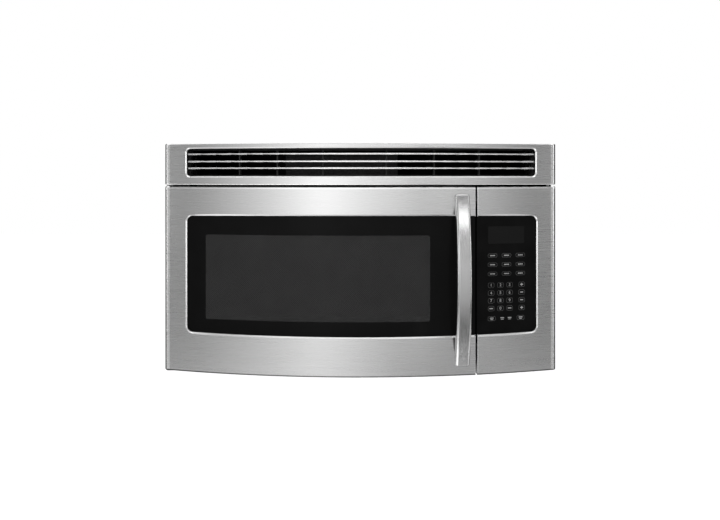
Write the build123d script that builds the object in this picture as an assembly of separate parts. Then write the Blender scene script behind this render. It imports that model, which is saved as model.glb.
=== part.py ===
from build123d import *
import math
import os

# Over-the-range microwave oven with a bowed front, a left-hinged door and a
# vent hood built into its top and underside.
# X runs across the front, +Y goes back to the wall and +Z goes up.
# The origin is the middle of the wall plate's lower edge, on the wall.
# All sizes are in millimetres.

# ---- overall ---------------------------------------------------------------
WIDTH = 759.0            # front, edge to edge
HEIGHT = 440.0           # underside to the grille's top edge
BOW = 40.0               # rise of the front's arc over its width
EDGE_DEPTH = 35.0        # depth of door and panel at the front's two ends
DOOR_GAP = 2.0           # door's back to the cabinet's front
CABINET_DEPTH = 325.0
PLATE_STANDOFF = 10.0    # cabinet's back to the wall
CASE_INSET = 2.0         # case sides stand in from the front's ends
CASE_DROP = 3.0          # case top lies below the grille's top edge
SHEET = 1.0              # cabinet sheet steel
HOLE_CORNER = 4.0        # corners of the openings cut in that sheet
SKIN = 1.2               # stainless skin of the front
CLEAR = 0.3              # clearance between pieces that slide in or lift out
RUNNING = 0.05           # radial clearance of a pin or shaft in its bore
PAST = 1.0               # how far a cut runs past the wall that it opens

# ---- front pieces ----------------------------------------------------------
FRONT_LIFT = 2.0         # front pieces end this far above the underside
PANEL_WIDTH = 158.8      # control panel; the door fills the rest of the width
GRILLE_HEIGHT = 79.0     # vent grille; the door fills the rest of the height
PANEL_GAP = 3.0          # door to control panel
GRILLE_GAP = 3.1         # door to vent grille
END_ROUND = 7.0          # round on the front's two upright ends
FULL_SPAN = 0.8          # an edge longer than this share of the width runs right across
EDGE_ROUND = 2.0         # round along top and bottom edges
SIDE_ROUND = 1.6         # round on the free sides of door and control panel
LIP_PLACE = 12.0         # lip over the control panel, in front of the cabinet's front
RIM_DEPTH = 4.0          # rolled rim behind the skin round an opening
RIM_WIDTH = 6.0
RIM_LIP = 0.6            # rim's edge left under its bevel

# ---- window and screen -----------------------------------------------------
WINDOW_LEFT = 47.3       # steel left of the glass
WINDOW_RIGHT = 41.4      # steel right of the glass, on the control panel
WINDOW_ABOVE = 55.7      # steel above the glass, at its middle
WINDOW_BELOW = 75.8      # steel below the glass, at its middle
WINDOW_CROWN = 2.0       # rise of its top and bottom edges
WINDOW_CORNER = 10.0
GLASS = 3.2
EDGE_STRIP = 20.0        # glass beside its free edge that fits between the skin's rims
SCREEN_LEFT = 36.2       # black border round the see-through screen
SCREEN_RIGHT = 86.7
SCREEN_BELOW = 26.7
SCREEN_ABOVE = 36.2
SCREEN_CROWN = 1.5
SCREEN_CORNER = 4.5
MESH = 0.6               # perforated screen sheet
SCREEN_LAP = 6.0         # screen sheet over the pan's opening
CHOKE = 6.0              # plastic cover on the door's back
PAN_DEPTH = 14.0         # walls of the door's inner pan
PANE = 3.0               # inner pane in the choke cover
PANE_LAP = 8.0           # choke cover's opening past the screen
PANE_CORNER = 6.0
GROOVE_PLACE = 14.0      # groove's outer edge past the oven's mouth
GROOVE_WIDTH = 6.0
GROOVE_DEPTH = 1.5

# ---- handle ----------------------------------------------------------------
HANDLE_INSET = 27.2      # centre line from the door's free edge
HANDLE_WIDTH = 27.5
HANDLE_BELOW = 20.3      # handle's lower end above the door's
HANDLE_ABOVE = 13.6      # handle's upper end below the door's
HANDLE_REACH = 33.0      # middle of the strap off the door
HANDLE_END = 10.0        # its ends off the door
HANDLE_THICK = 9.0
HANDLE_FOOT = 24.0       # height of each foot
HANDLE_ROUND = 5.0       # round all along the strap's front edges
FOOT_ROUND = 5.5         # round on the corners of its two ends
FOOT_STAND = 2.0         # inner arch starts this far off the door
FOOT_SEAT = 8.0          # depth that the feet are cut back from, to follow the door's curve
SCREW_SHANK = 2.0
SCREW_HEAD = 4.5
SCREW_HEAD_HEIGHT = 3.0
SCREW_BITE = 9.0         # screw into the handle's foot

# ---- hinges and latch ------------------------------------------------------
HINGE_INSET = 8.0        # pin from the door's left end
HINGE_BEHIND = 10.0      # pin behind the front of that end
PIN_RADIUS = 3.0
PIN_LENGTH = 11.0
BUSH_WALL = 2.5
EAR_WALL = 3.0           # ear beyond its bush
HINGE_PLATE = 1.4
HINGE_HOLD = 30.0        # height and width of the foot screwed to the cabinet
HINGE_NOSE = 4.0         # plate in front of its pin
FOOT_LEFT = 12.0         # foot's left edge right of the pin
LATCH_INSET = 12.7       # latch bar from the door's free edge
LATCH_THICK = 4.0
LATCH_BAR = 7.0
LATCH_LOW = 85.0         # lower hook above the door's lower edge
LATCH_DROP = 26.0        # upper hook below the blower's deck
HOOK_REACH = 30.0        # hook behind the door's back
HOOK_HEIGHT = 8.0
HOOK_NOSE = 9.0
HOOK_DROP = 4.0          # nose below the hook's shank
HOOK_SLOPE = 1.0         # slope on the nose's catching side
LATCH_TRAVEL = 6.0
LATCH_SWING = 5.0        # room at each side as the hook swings out
LATCH_END = 12.0         # bar past each hook's middle
SPRING_RADIUS = 3.0
SPRING_LENGTH = 24.0
LUG = (10.0, 2.0, 12.0)  # width, thickness and height of the spring's lug
LEDGE = 4.0              # depth of the ledge under a hook's nose
BRACKET_END = 24.0       # interlock bracket past each hook
BRACKET_DEPTH = 46.0
SWITCH = (12.0, 20.0)    # micro-switch along Y and Z
SWITCH_BUTTON = 3.0
SWITCH_STACK = 28.0      # second switch above the lower one

# ---- control panel ---------------------------------------------------------
OVERLAY = 2.0            # black keypad sheet
PAD_RISE = 0.3           # keys stand this far off the sheet
DISPLAY_LEFT = 22.3      # display's left edge from the panel's
DISPLAY_BELOW_TOP = 20.2
DISPLAY_WIDTH = 72.0
DISPLAY_HEIGHT = 33.0
DISPLAY_CORNER = 2.0
DISPLAY_LAP = 3.0        # chassis behind the display's edges
MODE_PAD = (18.0, 8.0)
MODE_COLUMNS = 3
MODE_ROWS = 3
MODE_LEFT = 30.8         # first column of mode keys from the panel's left
MODE_PITCH = 27.75
MODE_ROW = (0.3373, 0.0775)    # first row and its pitch, as shares of the window's height
DIGIT_PAD = (13.0, 10.6)
DIGIT_COLUMNS = (28.1, 46.5, 64.7, 89.0)
DIGIT_ROWS = 4
DIGIT_ROW = (0.5887, 0.066)    # first row and its pitch, as shares of the window's height
FOOT_ROW = 0.8717
FOOT_COLUMNS = (29.3, 50.0, 64.7, 86.8)
CHASSIS = 2.0
BOARD = 1.6
BOARD_BACK = 20.0        # circuit board in front of the cabinet's front
BOARD_INSET = 16.0       # board in from the control panel's ends
BOARD_ABOVE = 4.0        # board past the window, up and down
POST = 6.0               # square post under each of the board's corners
COIL_BLOCK = (34.0, 17.0, 30.0)  # low-voltage transformer on the board
RELAY = (20.0, 14.0, 18.0)
RELAYS = 3
RELAY_PITCH = 24.0
RELAY_FIRST = 80.0       # lowest relay above the board's lower edge

# ---- vent grille -----------------------------------------------------------
VENT_LEFT = 46.5         # steel left of the air opening
VENT_RIGHT = 43.5
VENT_BELOW = 17.6        # steel below it
VENT_ABOVE = 11.0        # steel above it
VENT_CORNER = 6.0
BAR_HEIGHTS = (14.0, 26.9, 41.2)   # louvre bars above the opening's lower edge
BAR_THICK = 3.6
BAR_DEPTH = 14.0
BAR_SHORT = 2.0          # bar's ends short of the rim's
BAR_ROUND = 0.4          # round on its front edges, as a share of its thickness
RIB_PLACES = (100.5, 174.3, 261.8, 383.0, 474.0, 562.0)   # from the opening's left end
RIB_THICK = 2.0
RIB_DEPTH = 16.0
FILTER_LEFT = 183.0      # charcoal filter behind the grille, from the opening's left end
FILTER_SIZE = (225.0, 14.0, 12.0)    # width, thickness and gap over its top
FILTER_FRAME = 8.0
PAD_DEPTH = 1.0          # pad's face behind its frame's
AIR_MARGIN = 4.0         # front frame's air opening against the grille's
BAY_MARGIN = 22.0        # and its opening for the wiring, in from the panel's sides

# ---- oven cavity -----------------------------------------------------------
CAVITY_LEFT = 49.0       # cavity in from the case's left side
BAY_WIDTH = 214.0        # electrical bay at its right
CAVITY_BACK = 18.0       # cavity in front of the back panel
CAVITY_FLOOR = 72.0      # cavity's floor above the underside
HOOD_HEIGHT = 132.0      # room over the cavity's deck, up to the case top
CAVITY_FLANGE = 12.0
MOUTH_CORNER = 3.0
CAVITY_ROUND = 8.0       # round on the cavity's upright back corners
SHAFT_HOLE = 7.0
FEED_SIZE = (95.0, 75.0)     # waveguide mouth along Y and Z
FEED_HEIGHT = 130.0      # its middle above the cavity floor
FEED_LAP = 10.0
FEED_DEPTH = 34.0
FEED_FLANGE = 8.0
FEED_GAP = 4.0           # waveguide's hole round the antenna
LAMP_PITCH = 9.0         # grid of holes in front of the cavity's lamp
LAMP_HOLE = 3.0
LAMP_ROWS = 3
LAMP_CORNER = 40.0       # grid's middle below the cavity's top and in front of its back
LAMP_HOLDER = (22.0, 40.0, 36.0)
LAMP_BULB = 6.5
ANTENNA = (8.0, 20.0)    # magnetron's antenna, radius and reach into the waveguide
ANODE = 19.0
YOKE = (58.0, 82.0, 62.0)
YOKE_WALL = 2.0
FINS = 7
FIN_THICK = 0.8
MAGNETRON_BOX = (22.0, 58.0, 50.0)   # filter box on the magnetron's end

# ---- turntable -------------------------------------------------------------
TRAY_GAP = 7.5           # tray to the cavity's front and back
TRAY_GLASS = 5.0
TRAY_RIM = 10.0          # rim above the tray's underside
TRAY_SLOPE = 18.0        # width of the tray's sloping edge
TRAY_LIP = 4.0
RING_RADIUS = 74.0
RING_SECTION = 3.0       # half the hoop's width and height
RING_CHAMFER = 1.0
WHEEL_RADIUS = 7.8
WHEEL_WIDTH = 7.0
WHEEL_PLACE = 92.0       # wheel's middle from the turntable's axis
WHEEL_COUNT = 3
WHEEL_GAP = 0.2          # wheel to the floor, and to the tray
WHEEL_CHAMFER = 1.0
AXLE_RADIUS = 2.0
AXLE_HEAD = 1.0          # head's rise past the axle
AXLE_END = 2.0           # head's thickness
COUPLER_RADIUS = 17.0
COUPLER_LOBES = 3
COUPLER_HEAD = 5.0       # height of the lobes
COUPLER_HUB = 9.0
LOBE_WIDTH = 8.0
SHAFT_RADIUS = 4.0
SHAFT_SOCKET = 12.0      # depth of the motor's socket
MOTOR_RADIUS = 24.5
MOTOR_HEIGHT = 18.0
MOTOR_EARS = (71.0, 12.0, 1.5)       # length across, width and thickness
MOTOR_PLUG = 16.0

# ---- blower, filters and lamps ---------------------------------------------
DECK = 1.0               # sheet that carries the blower over the cavity
DECK_LIP = 6.0           # deck left beside its left air opening
DECK_EDGE = 40.0         # deck in front of and behind its air openings
DECK_VENT = (124.0, 80.0)      # air opening over the electrical bay
WHEEL_OUTER = 46.0       # blower wheel
WHEEL_INNER = 37.0
BLOWER_WIDTH = 66.0
BLADES = 20
BLADE_THICK = 1.2
BLOWER_PITCH = 84.0      # each wheel's middle from the motor's
BLADE_TILT = 25.0
WHEEL_DISC = 1.6
WHEEL_RING = 3.0
HUB_WALL = 5.0
HUB_LENGTH = 20.0
SCROLL_WALL = 1.2
SCROLL_GAP = 7.0         # wheel to scroll, round it
SCROLL_SIDE = 4.3        # wheel to scroll, at each end
OUTLET = 67.2            # scroll's outlet along Y
BLOWER_SHAFT = 4.0
SHAFT_END = 12.0         # shaft past each wheel's middle
BLOWER_MOTOR = (36.0, 74.0)  # radius and length
MOTOR_CHAMFER = 5.0
SADDLE = (40.0, 56.0)
DUCT_WIDTH = 254.0
DUCT_DEPTH = 82.6
DUCT_FROM_BACK = 22.0
DUCT_COLLAR = 20.0
FLAP_RISE = 5.0          # damper flap above the case top
FLAP_THICK = 1.0
FLAP_PIN = 1.5
FLAP_EDGE = 4.0          # flap's axis from the collar's back wall
FLAP_GAP = 1.5           # flap to the collar's walls
COLLAR_FOOT = 12.0
GREASE_WIDTH = 200.0
GREASE_THICK = 9.0
GREASE_SIDE = 171.5      # its middle in from the case's side
GREASE_BACK = 40.0       # its back edge in front of the case's back
GREASE_AHEAD = 64.0      # its front edge behind the cooktop lens
GREASE_LAP = 6.0         # filter's front and back edges over the base plate
GREASE_SIDE_LAP = 8.0
GREASE_FRAME = 12.0
PULL_TAB = (30.0, 16.0)
PULL_TAB_PLACE = 22.0    # pull tab behind the filter's front edge
FLUSH = 0.2              # lens and pull tab end this far above the base plate's underside
LENS_SIZE = (84.0, 54.0)
LENS_SIDE = 171.5        # lens' middle in from the case's side
LENS_FRONT = 44.0        # and behind the case's front
LENS_LAP = 5.0
LENS_CORNER = 6.0
LENS_GLASS = 3.0
LAMP_HOUSING = 40.0
LAMP_SOCKET = (10.0, 14.0)     # radius and length
LAMP_COLLAR = (13.0, 3.0)
LAMP_DROP = 16.0         # bulb's middle below the housing's top
BULB = 10.0
INTAKE = (3.5, 60.0)     # air slots under the electrical bay, width and length
INTAKE_PITCH = 8.0
INTAKE_COUNT = 9
INTAKE_FRONT = 150.0     # slots' middle behind the case's front
INTAKE_INSET = 36.0       # and their row's middle in from the case's right side

# ---- electrical bay --------------------------------------------------------
FAN_RADIUS = 43.0
FAN_HUB = 13.0
FAN_BLADES = 5
FAN_BLADE_THICK = 1.6
FAN_PITCH = 32.0         # blade angle, degrees
FAN_BLADE_WIDTH = 18.0
FAN_DEPTH = 12.0
FAN_FRAME = 104.0
FAN_PLATE = 3.0
FAN_THROAT = 2.5         # throat round the blades
FAN_LEG = (3.5, 5.0)     # leg's radius, and its middle in from the frame's edge
FAN_DROP = 88.0          # fan's axis below the blower's deck
FAN_BACK = 52.0          # frame in front of the back panel
FAN_SHAFT = 2.0
FAN_SHAFT_IN = 14.0      # shaft's length inside the motor
FAN_CORE = (50.0, 18.0, 44.0)
FAN_COIL = (12.0, 24.0)
FAN_BAR = 14.0
TRANSFORMER = (92.0, 78.0, 70.0)
TRANSFORMER_SIDE = 30.0  # in from the case's right side
TRANSFORMER_FRONT = 34.0 # behind the front frame
TRANSFORMER_FOOT = (6.0, 3.0)  # foot past the core, and its thickness
CORE_INSET = 12.0        # core behind the windings' faces
WINDINGS = (0.3, 0.72)   # the windings' middles, as shares of the core's height
WINDING_SHARE = 0.28
WINDING_ROUND = 10.0
CAPACITOR = (54.0, 34.0, 88.0)
CAPACITOR_SIDE = 8.0     # in from the case's right side
CAPACITOR_BACK = 120.0   # its middle in front of the back panel
CAPACITOR_RIM = (1.5, 3.0)     # rim's rise and height
TERMINAL = (4.0, 9.0)    # radius and height
TERMINAL_PITCH = 24.0
MAINS_BOARD = (90.0, 60.0)
MAINS_BOARD_BACK = 120.0 # its middle in front of the back panel
MAINS_BOARD_SHIFT = 20.0 # and right of the fan's axis
MAINS_BOARD_DROP = 12.0  # board below the deck
MAINS_POST = (2.5, 5.0)  # post's radius, and its middle in from the board's edges
CHOKE_COIL = (14.0, 16.0)
CHOKE_COIL_PLACE = 25.0  # coil's middle from the board's left edge
SUPPRESSOR = (24.0, 30.0, 14.0)
CORD_HOLE = 11.0
CORD_BORE = 5.0
GROMMET_FLANGE = (3.0, 2.0)    # flange's rise and thickness

# ---- mounting --------------------------------------------------------------
PLATE = 1.5
PLATE_INSET = 17.5       # plate's ends in from the case's sides
PLATE_DROP = 3.0         # plate's top below the blower's deck
STUD_SPACING = 406.4     # wall studs sixteen inches apart
SCREW_INSET = 40.0       # rows of wall screws, from the plate's lower and upper edges
WALL_HOLE = 3.5
TAB_PLACE = 250.0
TAB_WIDTH = 40.0
TAB_HOOK = 12.0
TAB_ROOM = 4.0           # slot's room over the hook, to lift the cabinet on
TOP_BOLT_SPACING = 622.0
TOP_BOLT_FROM_FRONT = 62.0
TOP_BOLT_HOLE = 3.5

# ---- worked-out places -----------------------------------------------------
HALF = WIDTH / 2
BEVEL = RIM_DEPTH - RIM_LIP            # slope from the skin down to the glass
Y_BACK = -PLATE_STANDOFF
Y_FRONT = Y_BACK - CABINET_DEPTH
Y_DOOR = Y_FRONT - DOOR_GAP
Y_NOSE = Y_DOOR - EDGE_DEPTH - BOW
BOW_RADIUS = (HALF ** 2 + BOW ** 2) / (2 * BOW)
BOW_CENTRE = Y_NOSE + BOW_RADIUS
CASE_X = HALF - CASE_INSET
CASE_TOP = HEIGHT - CASE_DROP
INNER_X = CASE_X - SHEET
INNER_TOP = CASE_TOP - SHEET
INNER_BACK = Y_BACK - SHEET
INNER_FRONT = Y_FRONT + SHEET
PANEL_X = (HALF - PANEL_WIDTH, HALF)
DOOR_X = (-HALF, PANEL_X[0] - PANEL_GAP)
GRILLE_Z = (HEIGHT - GRILLE_HEIGHT, HEIGHT)
DOOR_Z = (FRONT_LIFT, GRILLE_Z[0] - GRILLE_GAP)
WINDOW_X = (-HALF + WINDOW_LEFT, HALF - WINDOW_RIGHT)
WINDOW_Z = (DOOR_Z[0] + WINDOW_BELOW, DOOR_Z[1] - WINDOW_ABOVE)
SCREEN_X = (WINDOW_X[0] + SCREEN_LEFT, DOOR_X[1] - SCREEN_RIGHT)
SCREEN_Z = (WINDOW_Z[0] + SCREEN_BELOW, WINDOW_Z[1] - SCREEN_ABOVE)
VENT_X = (-HALF + VENT_LEFT, HALF - VENT_RIGHT)
VENT_Z = (GRILLE_Z[0] + VENT_BELOW, GRILLE_Z[1] - VENT_ABOVE)
HINGE = (DOOR_X[0] + HINGE_INSET, Y_DOOR - EDGE_DEPTH + HINGE_BEHIND)
HANDLE_X = DOOR_X[1] - HANDLE_INSET
HANDLE_Z = (DOOR_Z[0] + HANDLE_BELOW, DOOR_Z[1] - HANDLE_ABOVE)
LATCH_X = DOOR_X[1] - LATCH_INSET
Y_PAN = Y_DOOR - CHOKE                 # back of the door's inner pan
HOOK_TIP = Y_DOOR + HOOK_REACH
DECK_Z = (INNER_TOP - HOOD_HEIGHT - DECK, INNER_TOP - HOOD_HEIGHT)
PLATE_HEIGHT = DECK_Z[0] - PLATE_DROP
HOOK_Z = (DOOR_Z[0] + LATCH_LOW, DECK_Z[0] - LATCH_DROP)
BAY_LEFT = INNER_X - BAY_WIDTH         # electrical bay beside the cavity
CAVITY_X = (-CASE_X + CAVITY_LEFT, BAY_LEFT - SHEET)
CAVITY_Y = (INNER_FRONT, INNER_BACK - CAVITY_BACK)
CAVITY_Z = (CAVITY_FLOOR, DECK_Z[0] - SHEET)
TURN_X = sum(CAVITY_X) / 2
TURN_Y = sum(CAVITY_Y) / 2
WHEEL_Z = CAVITY_FLOOR + WHEEL_GAP + WHEEL_RADIUS
TRAY_Z = WHEEL_Z + WHEEL_RADIUS + WHEEL_GAP
TRAY_RADIUS = (CAVITY_Y[1] - CAVITY_Y[0]) / 2 - TRAY_GAP
SCROLL_RADIUS = WHEEL_OUTER + SCROLL_GAP + SCROLL_WALL
BLOWER_Z = DECK_Z[1] + SCROLL_RADIUS
DUCT_Y = (Y_BACK - DUCT_FROM_BACK - DUCT_DEPTH, Y_BACK - DUCT_FROM_BACK)
BLOWER_Y = DUCT_Y[1] - SCROLL_RADIUS
FEED_Y = sum(CAVITY_Y) / 2
FEED_Z = CAVITY_FLOOR + FEED_HEIGHT
FAN_X = (BAY_LEFT + INNER_X) / 2
FAN_Y = INNER_BACK - FAN_BACK
FAN_Z = DECK_Z[0] - FAN_DROP
BOARD_Y = Y_FRONT - BOARD_BACK - BOARD   # front of the control board
LENS_X = INNER_X - LENS_SIDE
LENS_Y = Y_FRONT + LENS_FRONT
FLAP_Y = DUCT_Y[1] - SHEET - FLAP_EDGE
FLAP_Z = CASE_TOP + FLAP_RISE
HANDLE_SKIN = BOW_CENTRE - math.sqrt(BOW_RADIUS ** 2 - HANDLE_X ** 2)   # door's face at the handle
FRONT_REACH = (Y_NOSE - PAST, Y_FRONT + PAST)   # depth of a cut right through the front


# ---- helpers ---------------------------------------------------------------
def grow(span, by):
    """A (low, high) pair made longer by the same amount at both ends."""
    return (span[0] - by, span[1] + by)


def about(middle, width):
    """A (low, high) pair of the given width about its middle."""
    return (middle - width / 2, middle + width / 2)


def block(x, y, z):
    """Box between (low, high) pairs along X, Y and Z."""
    solid = Box(x[1] - x[0], y[1] - y[0], z[1] - z[0])
    return Pos(sum(x) / 2, sum(y) / 2, sum(z) / 2) * solid


def along_x(outline, x):
    """Outline in Y and Z, carried from one X to another."""
    return extrude(Plane.YZ.offset(x[0]) * outline, amount=x[1] - x[0])


def along_y(outline, y):
    """Outline in X and Z, carried from one Y to another."""
    return extrude(Plane.XZ.offset(-y[1]) * outline, amount=y[1] - y[0])


def along_z(outline, z):
    """Outline in X and Y, carried from one Z to another."""
    return extrude(Plane.XY.offset(z[0]) * outline, amount=z[1] - z[0])


def rod(start, direction, radius, length):
    """Cylinder from a point, along a direction."""
    seat = (Align.CENTER, Align.CENTER, Align.MIN)
    return Plane(origin=start, z_dir=direction) * Cylinder(radius, length, align=seat)


def lamp_bulb(start, direction, radius):
    """Bulb as long as it is wide, with its two ends drawn in."""
    bulb = rod(start, direction, radius, 2 * radius)
    return chamfer(bulb.edges().filter_by(GeomType.CIRCLE), radius / 2)


def pair(make):
    """The left and the right one of a piece, as separate solids."""
    return Compound(children=[make(-1), make(1)])


def rounded(x, z, corner):
    """Rectangle with rounded corners between (low, high) pairs."""
    shape = RectangleRounded(x[1] - x[0], z[1] - z[0], corner)
    return Pos(sum(x) / 2, sum(z) / 2) * shape


def crowned(x, z, crown, corner):
    """Outline whose top and bottom edges are arcs that rise by crown at their middle."""
    middle = sum(x) / 2
    top = ThreePointArc((x[0], z[1] - crown), (middle, z[1]), (x[1], z[1] - crown))
    bottom = ThreePointArc((x[1], z[0] + crown), (middle, z[0]), (x[0], z[0] + crown))
    right = Line(top @ 1, bottom @ 0)
    left = Line(bottom @ 1, top @ 0)
    face = make_face(top + right + bottom + left)
    return fillet(face.vertices(), corner)


# ---- the bowed front -------------------------------------------------------
def bow_y(x, inset=0.0):
    """Y of the front's arc at x, set back square to the arc by inset."""
    return BOW_CENTRE - math.sqrt((BOW_RADIUS - inset) ** 2 - x ** 2)


def bow_block(x, z, back, inset=0.0, rounds=(0.0, 0.0)):
    """Block with the bow as its front and a straight back; rounds are its front corners'."""
    front = ThreePointArc(*[(px, bow_y(px, inset)) for px in (x[0], sum(x) / 2, x[1])])
    sides = Polyline(front @ 1, (x[1], back), (x[0], back), front @ 0)
    plan = make_face(front + sides)
    for end, radius in zip(x, rounds):
        if radius > 0:
            corners = [v for v in plan.vertices() if abs(v.X - end) < 0.01]
            plan = fillet(min(corners, key=lambda v: v.Y), radius)
    return along_z(plan, z)


def bow_band(x, z, insets):
    """Bowed sheet between two insets, with its ends square to X."""
    solid = bow_block(x, z, FRONT_REACH[1], insets[0])
    return solid - bow_block(grow(x, PAST), grow(z, PAST), FRONT_REACH[1] + PAST, insets[1])


def window_outline(by=0.0):
    """Outline of the black glass, which runs on from the door to the panel."""
    return crowned(grow(WINDOW_X, by), grow(WINDOW_Z, by), WINDOW_CROWN, WINDOW_CORNER + by)


def vent_outline(by=0.0):
    """Outline of the grille's air opening."""
    return rounded(grow(VENT_X, by), grow(VENT_Z, by), VENT_CORNER + by)


def front_block(z, back):
    """Full-width bowed block, rounded at its upright ends and along its top and bottom."""
    solid = bow_block((-HALF, HALF), z, back, 0.0, (END_ROUND, END_ROUND))
    long_edges = [e for e in solid.edges() if e.length > WIDTH * FULL_SPAN]
    return fillet([e for e in long_edges if e.geom_type == GeomType.CIRCLE], EDGE_ROUND)


def front_shell(z, back, outline):
    """Full-width bowed steel skin with returned sides and an opening whose rim is bevelled."""
    x = (-HALF, HALF)
    outer = front_block(z, back)
    inner_rounds = (END_ROUND - SKIN, END_ROUND - SKIN)
    inner = bow_block(grow(x, -SKIN), grow(z, -SKIN), back + PAST, SKIN, inner_rounds)
    rim = bow_band(grow(x, -SKIN), grow(z, -SKIN), (SKIN, RIM_DEPTH))
    rim = rim & along_y(outline(RIM_WIDTH), FRONT_REACH)
    shell = (outer - inner) + rim - along_y(outline(), FRONT_REACH)
    mouth = [e for e in shell.edges() if on_mouth(e, x, z)]
    return chamfer(mouth, BEVEL)


def lower_front(x, back, wall_x):
    """The door's or the panel's share of the lower front, with a wall at its rounded free side."""
    share = front_shell(DOOR_Z, Y_FRONT, window_outline)
    wall = front_block(DOOR_Z, Y_FRONT) & block(wall_x, (FRONT_REACH[0], back), DOOR_Z)
    notch = bow_band(grow(wall_x, PAST), DOOR_Z, (-BEVEL, RIM_DEPTH + GLASS))
    shell = share + (wall - (notch & along_y(window_outline(), FRONT_REACH)))
    rounds = (0.0, SIDE_ROUND) if wall_x[1] == x[1] else (SIDE_ROUND, 0.0)
    return shell & bow_block(x, grow(DOOR_Z, PAST), back, 0.0, rounds)


def on_mouth(edge, x, z):
    """True for an edge of the cut on the front's outer surface."""
    margin = END_ROUND + EDGE_ROUND
    ends = [edge @ t for t in (0.0, 0.5, 1.0)]
    on_skin = all(abs(p.Y - bow_y(p.X)) < 0.02 for p in ends)
    middle = ends[1]
    inside_x = x[0] + margin < middle.X < x[1] - margin
    inside_z = z[0] + margin < middle.Z < z[1] - margin
    return on_skin and inside_x and inside_z


# ---- cabinet ---------------------------------------------------------------
def outer_case():
    """Sheet wrap of two sides and a top, open below and at both ends."""
    outside = Pos(0, CASE_TOP / 2) * Rectangle(2 * CASE_X, CASE_TOP)
    outside = fillet(outside.vertices().sort_by(Axis.Y)[-2:], 2 * SHEET)
    inside = Pos(0, INNER_TOP / 2) * Rectangle(2 * INNER_X, INNER_TOP)
    shell = along_y(outside - inside, (Y_FRONT, Y_BACK))
    top = grow((INNER_TOP, CASE_TOP), PAST)
    shell = shell - block(about(0, DUCT_WIDTH - 4 * SHEET), grow(DUCT_Y, -2 * SHEET), top)
    for side in (-1, 1):
        bolt = (side * TOP_BOLT_SPACING / 2, Y_FRONT + TOP_BOLT_FROM_FRONT, top[0])
        shell = shell - rod(bolt, (0, 0, 1), TOP_BOLT_HOLE, top[1] - top[0])
    return shell - rod(cord_place(top[0]), (0, 0, 1), CORD_HOLE, top[1] - top[0])


def cord_place(z):
    """Where the supply lead leaves the case top, at height z."""
    return (FAN_X, Y_BACK - DUCT_FROM_BACK - CORD_HOLE, z)


def back_panel():
    """Sheet closing the back, with two slots for the wall plate's hooks."""
    sheet = block(about(0, 2 * INNER_X), (INNER_BACK, Y_BACK), (0, INNER_TOP))
    slot_z = (PLATE, PLATE + TAB_HOOK + TAB_ROOM)
    for side in (-1, 1):
        slot_x = about(side * TAB_PLACE, TAB_WIDTH + 2 * PAST)
        sheet = sheet - block(slot_x, grow((INNER_BACK, Y_BACK), PAST), slot_z)
    return sheet


def grease_x(side):
    """X span of a grease filter."""
    return about(side * (INNER_X - GREASE_SIDE), GREASE_WIDTH)


def grease_y():
    """Y span of the grease filters."""
    return (lens_y()[1] + GREASE_AHEAD, Y_BACK - GREASE_BACK)


def lens_x(side):
    """X span of a cooktop lens."""
    return about(side * LENS_X, LENS_SIZE[0])


def lens_y():
    """Y span of the cooktop lenses."""
    return about(LENS_Y, LENS_SIZE[1])


def base_plate():
    """Underside sheet with an opening for each filter and lens, and air slots under the bay."""
    sheet = block(about(0, 2 * INNER_X), (INNER_FRONT, INNER_BACK), (0, SHEET))
    through = grow((0, SHEET), PAST)
    for side in (-1, 1):
        filter_hole = rounded(grow(grease_x(side), -GREASE_SIDE_LAP), grow(grease_y(), -GREASE_LAP), HOLE_CORNER)
        lens_hole = rounded(grow(lens_x(side), -LENS_LAP), grow(lens_y(), -LENS_LAP), HOLE_CORNER)
        sheet = sheet - along_z(filter_hole, through) - along_z(lens_hole, through)
    slots = []
    for index in range(INTAKE_COUNT):
        x = INNER_X - INTAKE_INSET + (index - (INTAKE_COUNT - 1) / 2) * INTAKE_PITCH
        slot = Rot(0, 0, 90) * SlotOverall(INTAKE[1], INTAKE[0])
        slots.append(Pos(x, Y_FRONT + INTAKE_FRONT) * slot)
    return sheet - along_z(Sketch(children=slots), through)


def front_frame():
    """Upright sheet behind the door, panel and grille, with the oven's mouth in it."""
    sheet = block(about(0, 2 * INNER_X), (Y_FRONT, INNER_FRONT), (0, INNER_TOP))
    through = grow((Y_FRONT, INNER_FRONT), PAST)
    mouth = rounded(CAVITY_X, CAVITY_Z, MOUTH_CORNER)
    air = rounded(grow(VENT_X, -AIR_MARGIN), (VENT_Z[0] - AIR_MARGIN, VENT_Z[1]), AIR_MARGIN)
    bay = rounded(grow(PANEL_X, -BAY_MARGIN), WINDOW_Z, VENT_CORNER)
    for opening in (mouth, air, bay):
        sheet = sheet - along_y(opening, through)
    for z in HOOK_Z:
        sheet = sheet - hook_slot(z, LATCH_SWING, through)
    return sheet


def hook_slot(z, side_room, y):
    """Upright slot that a latch hook passes through, with room for its travel."""
    low = z - HOOK_HEIGHT / 2 - HOOK_DROP - CLEAR
    high = z + HOOK_HEIGHT / 2 + LATCH_TRAVEL + CLEAR
    return block(about(LATCH_X, LATCH_THICK + 2 * side_room), y, (low, high))


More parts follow.
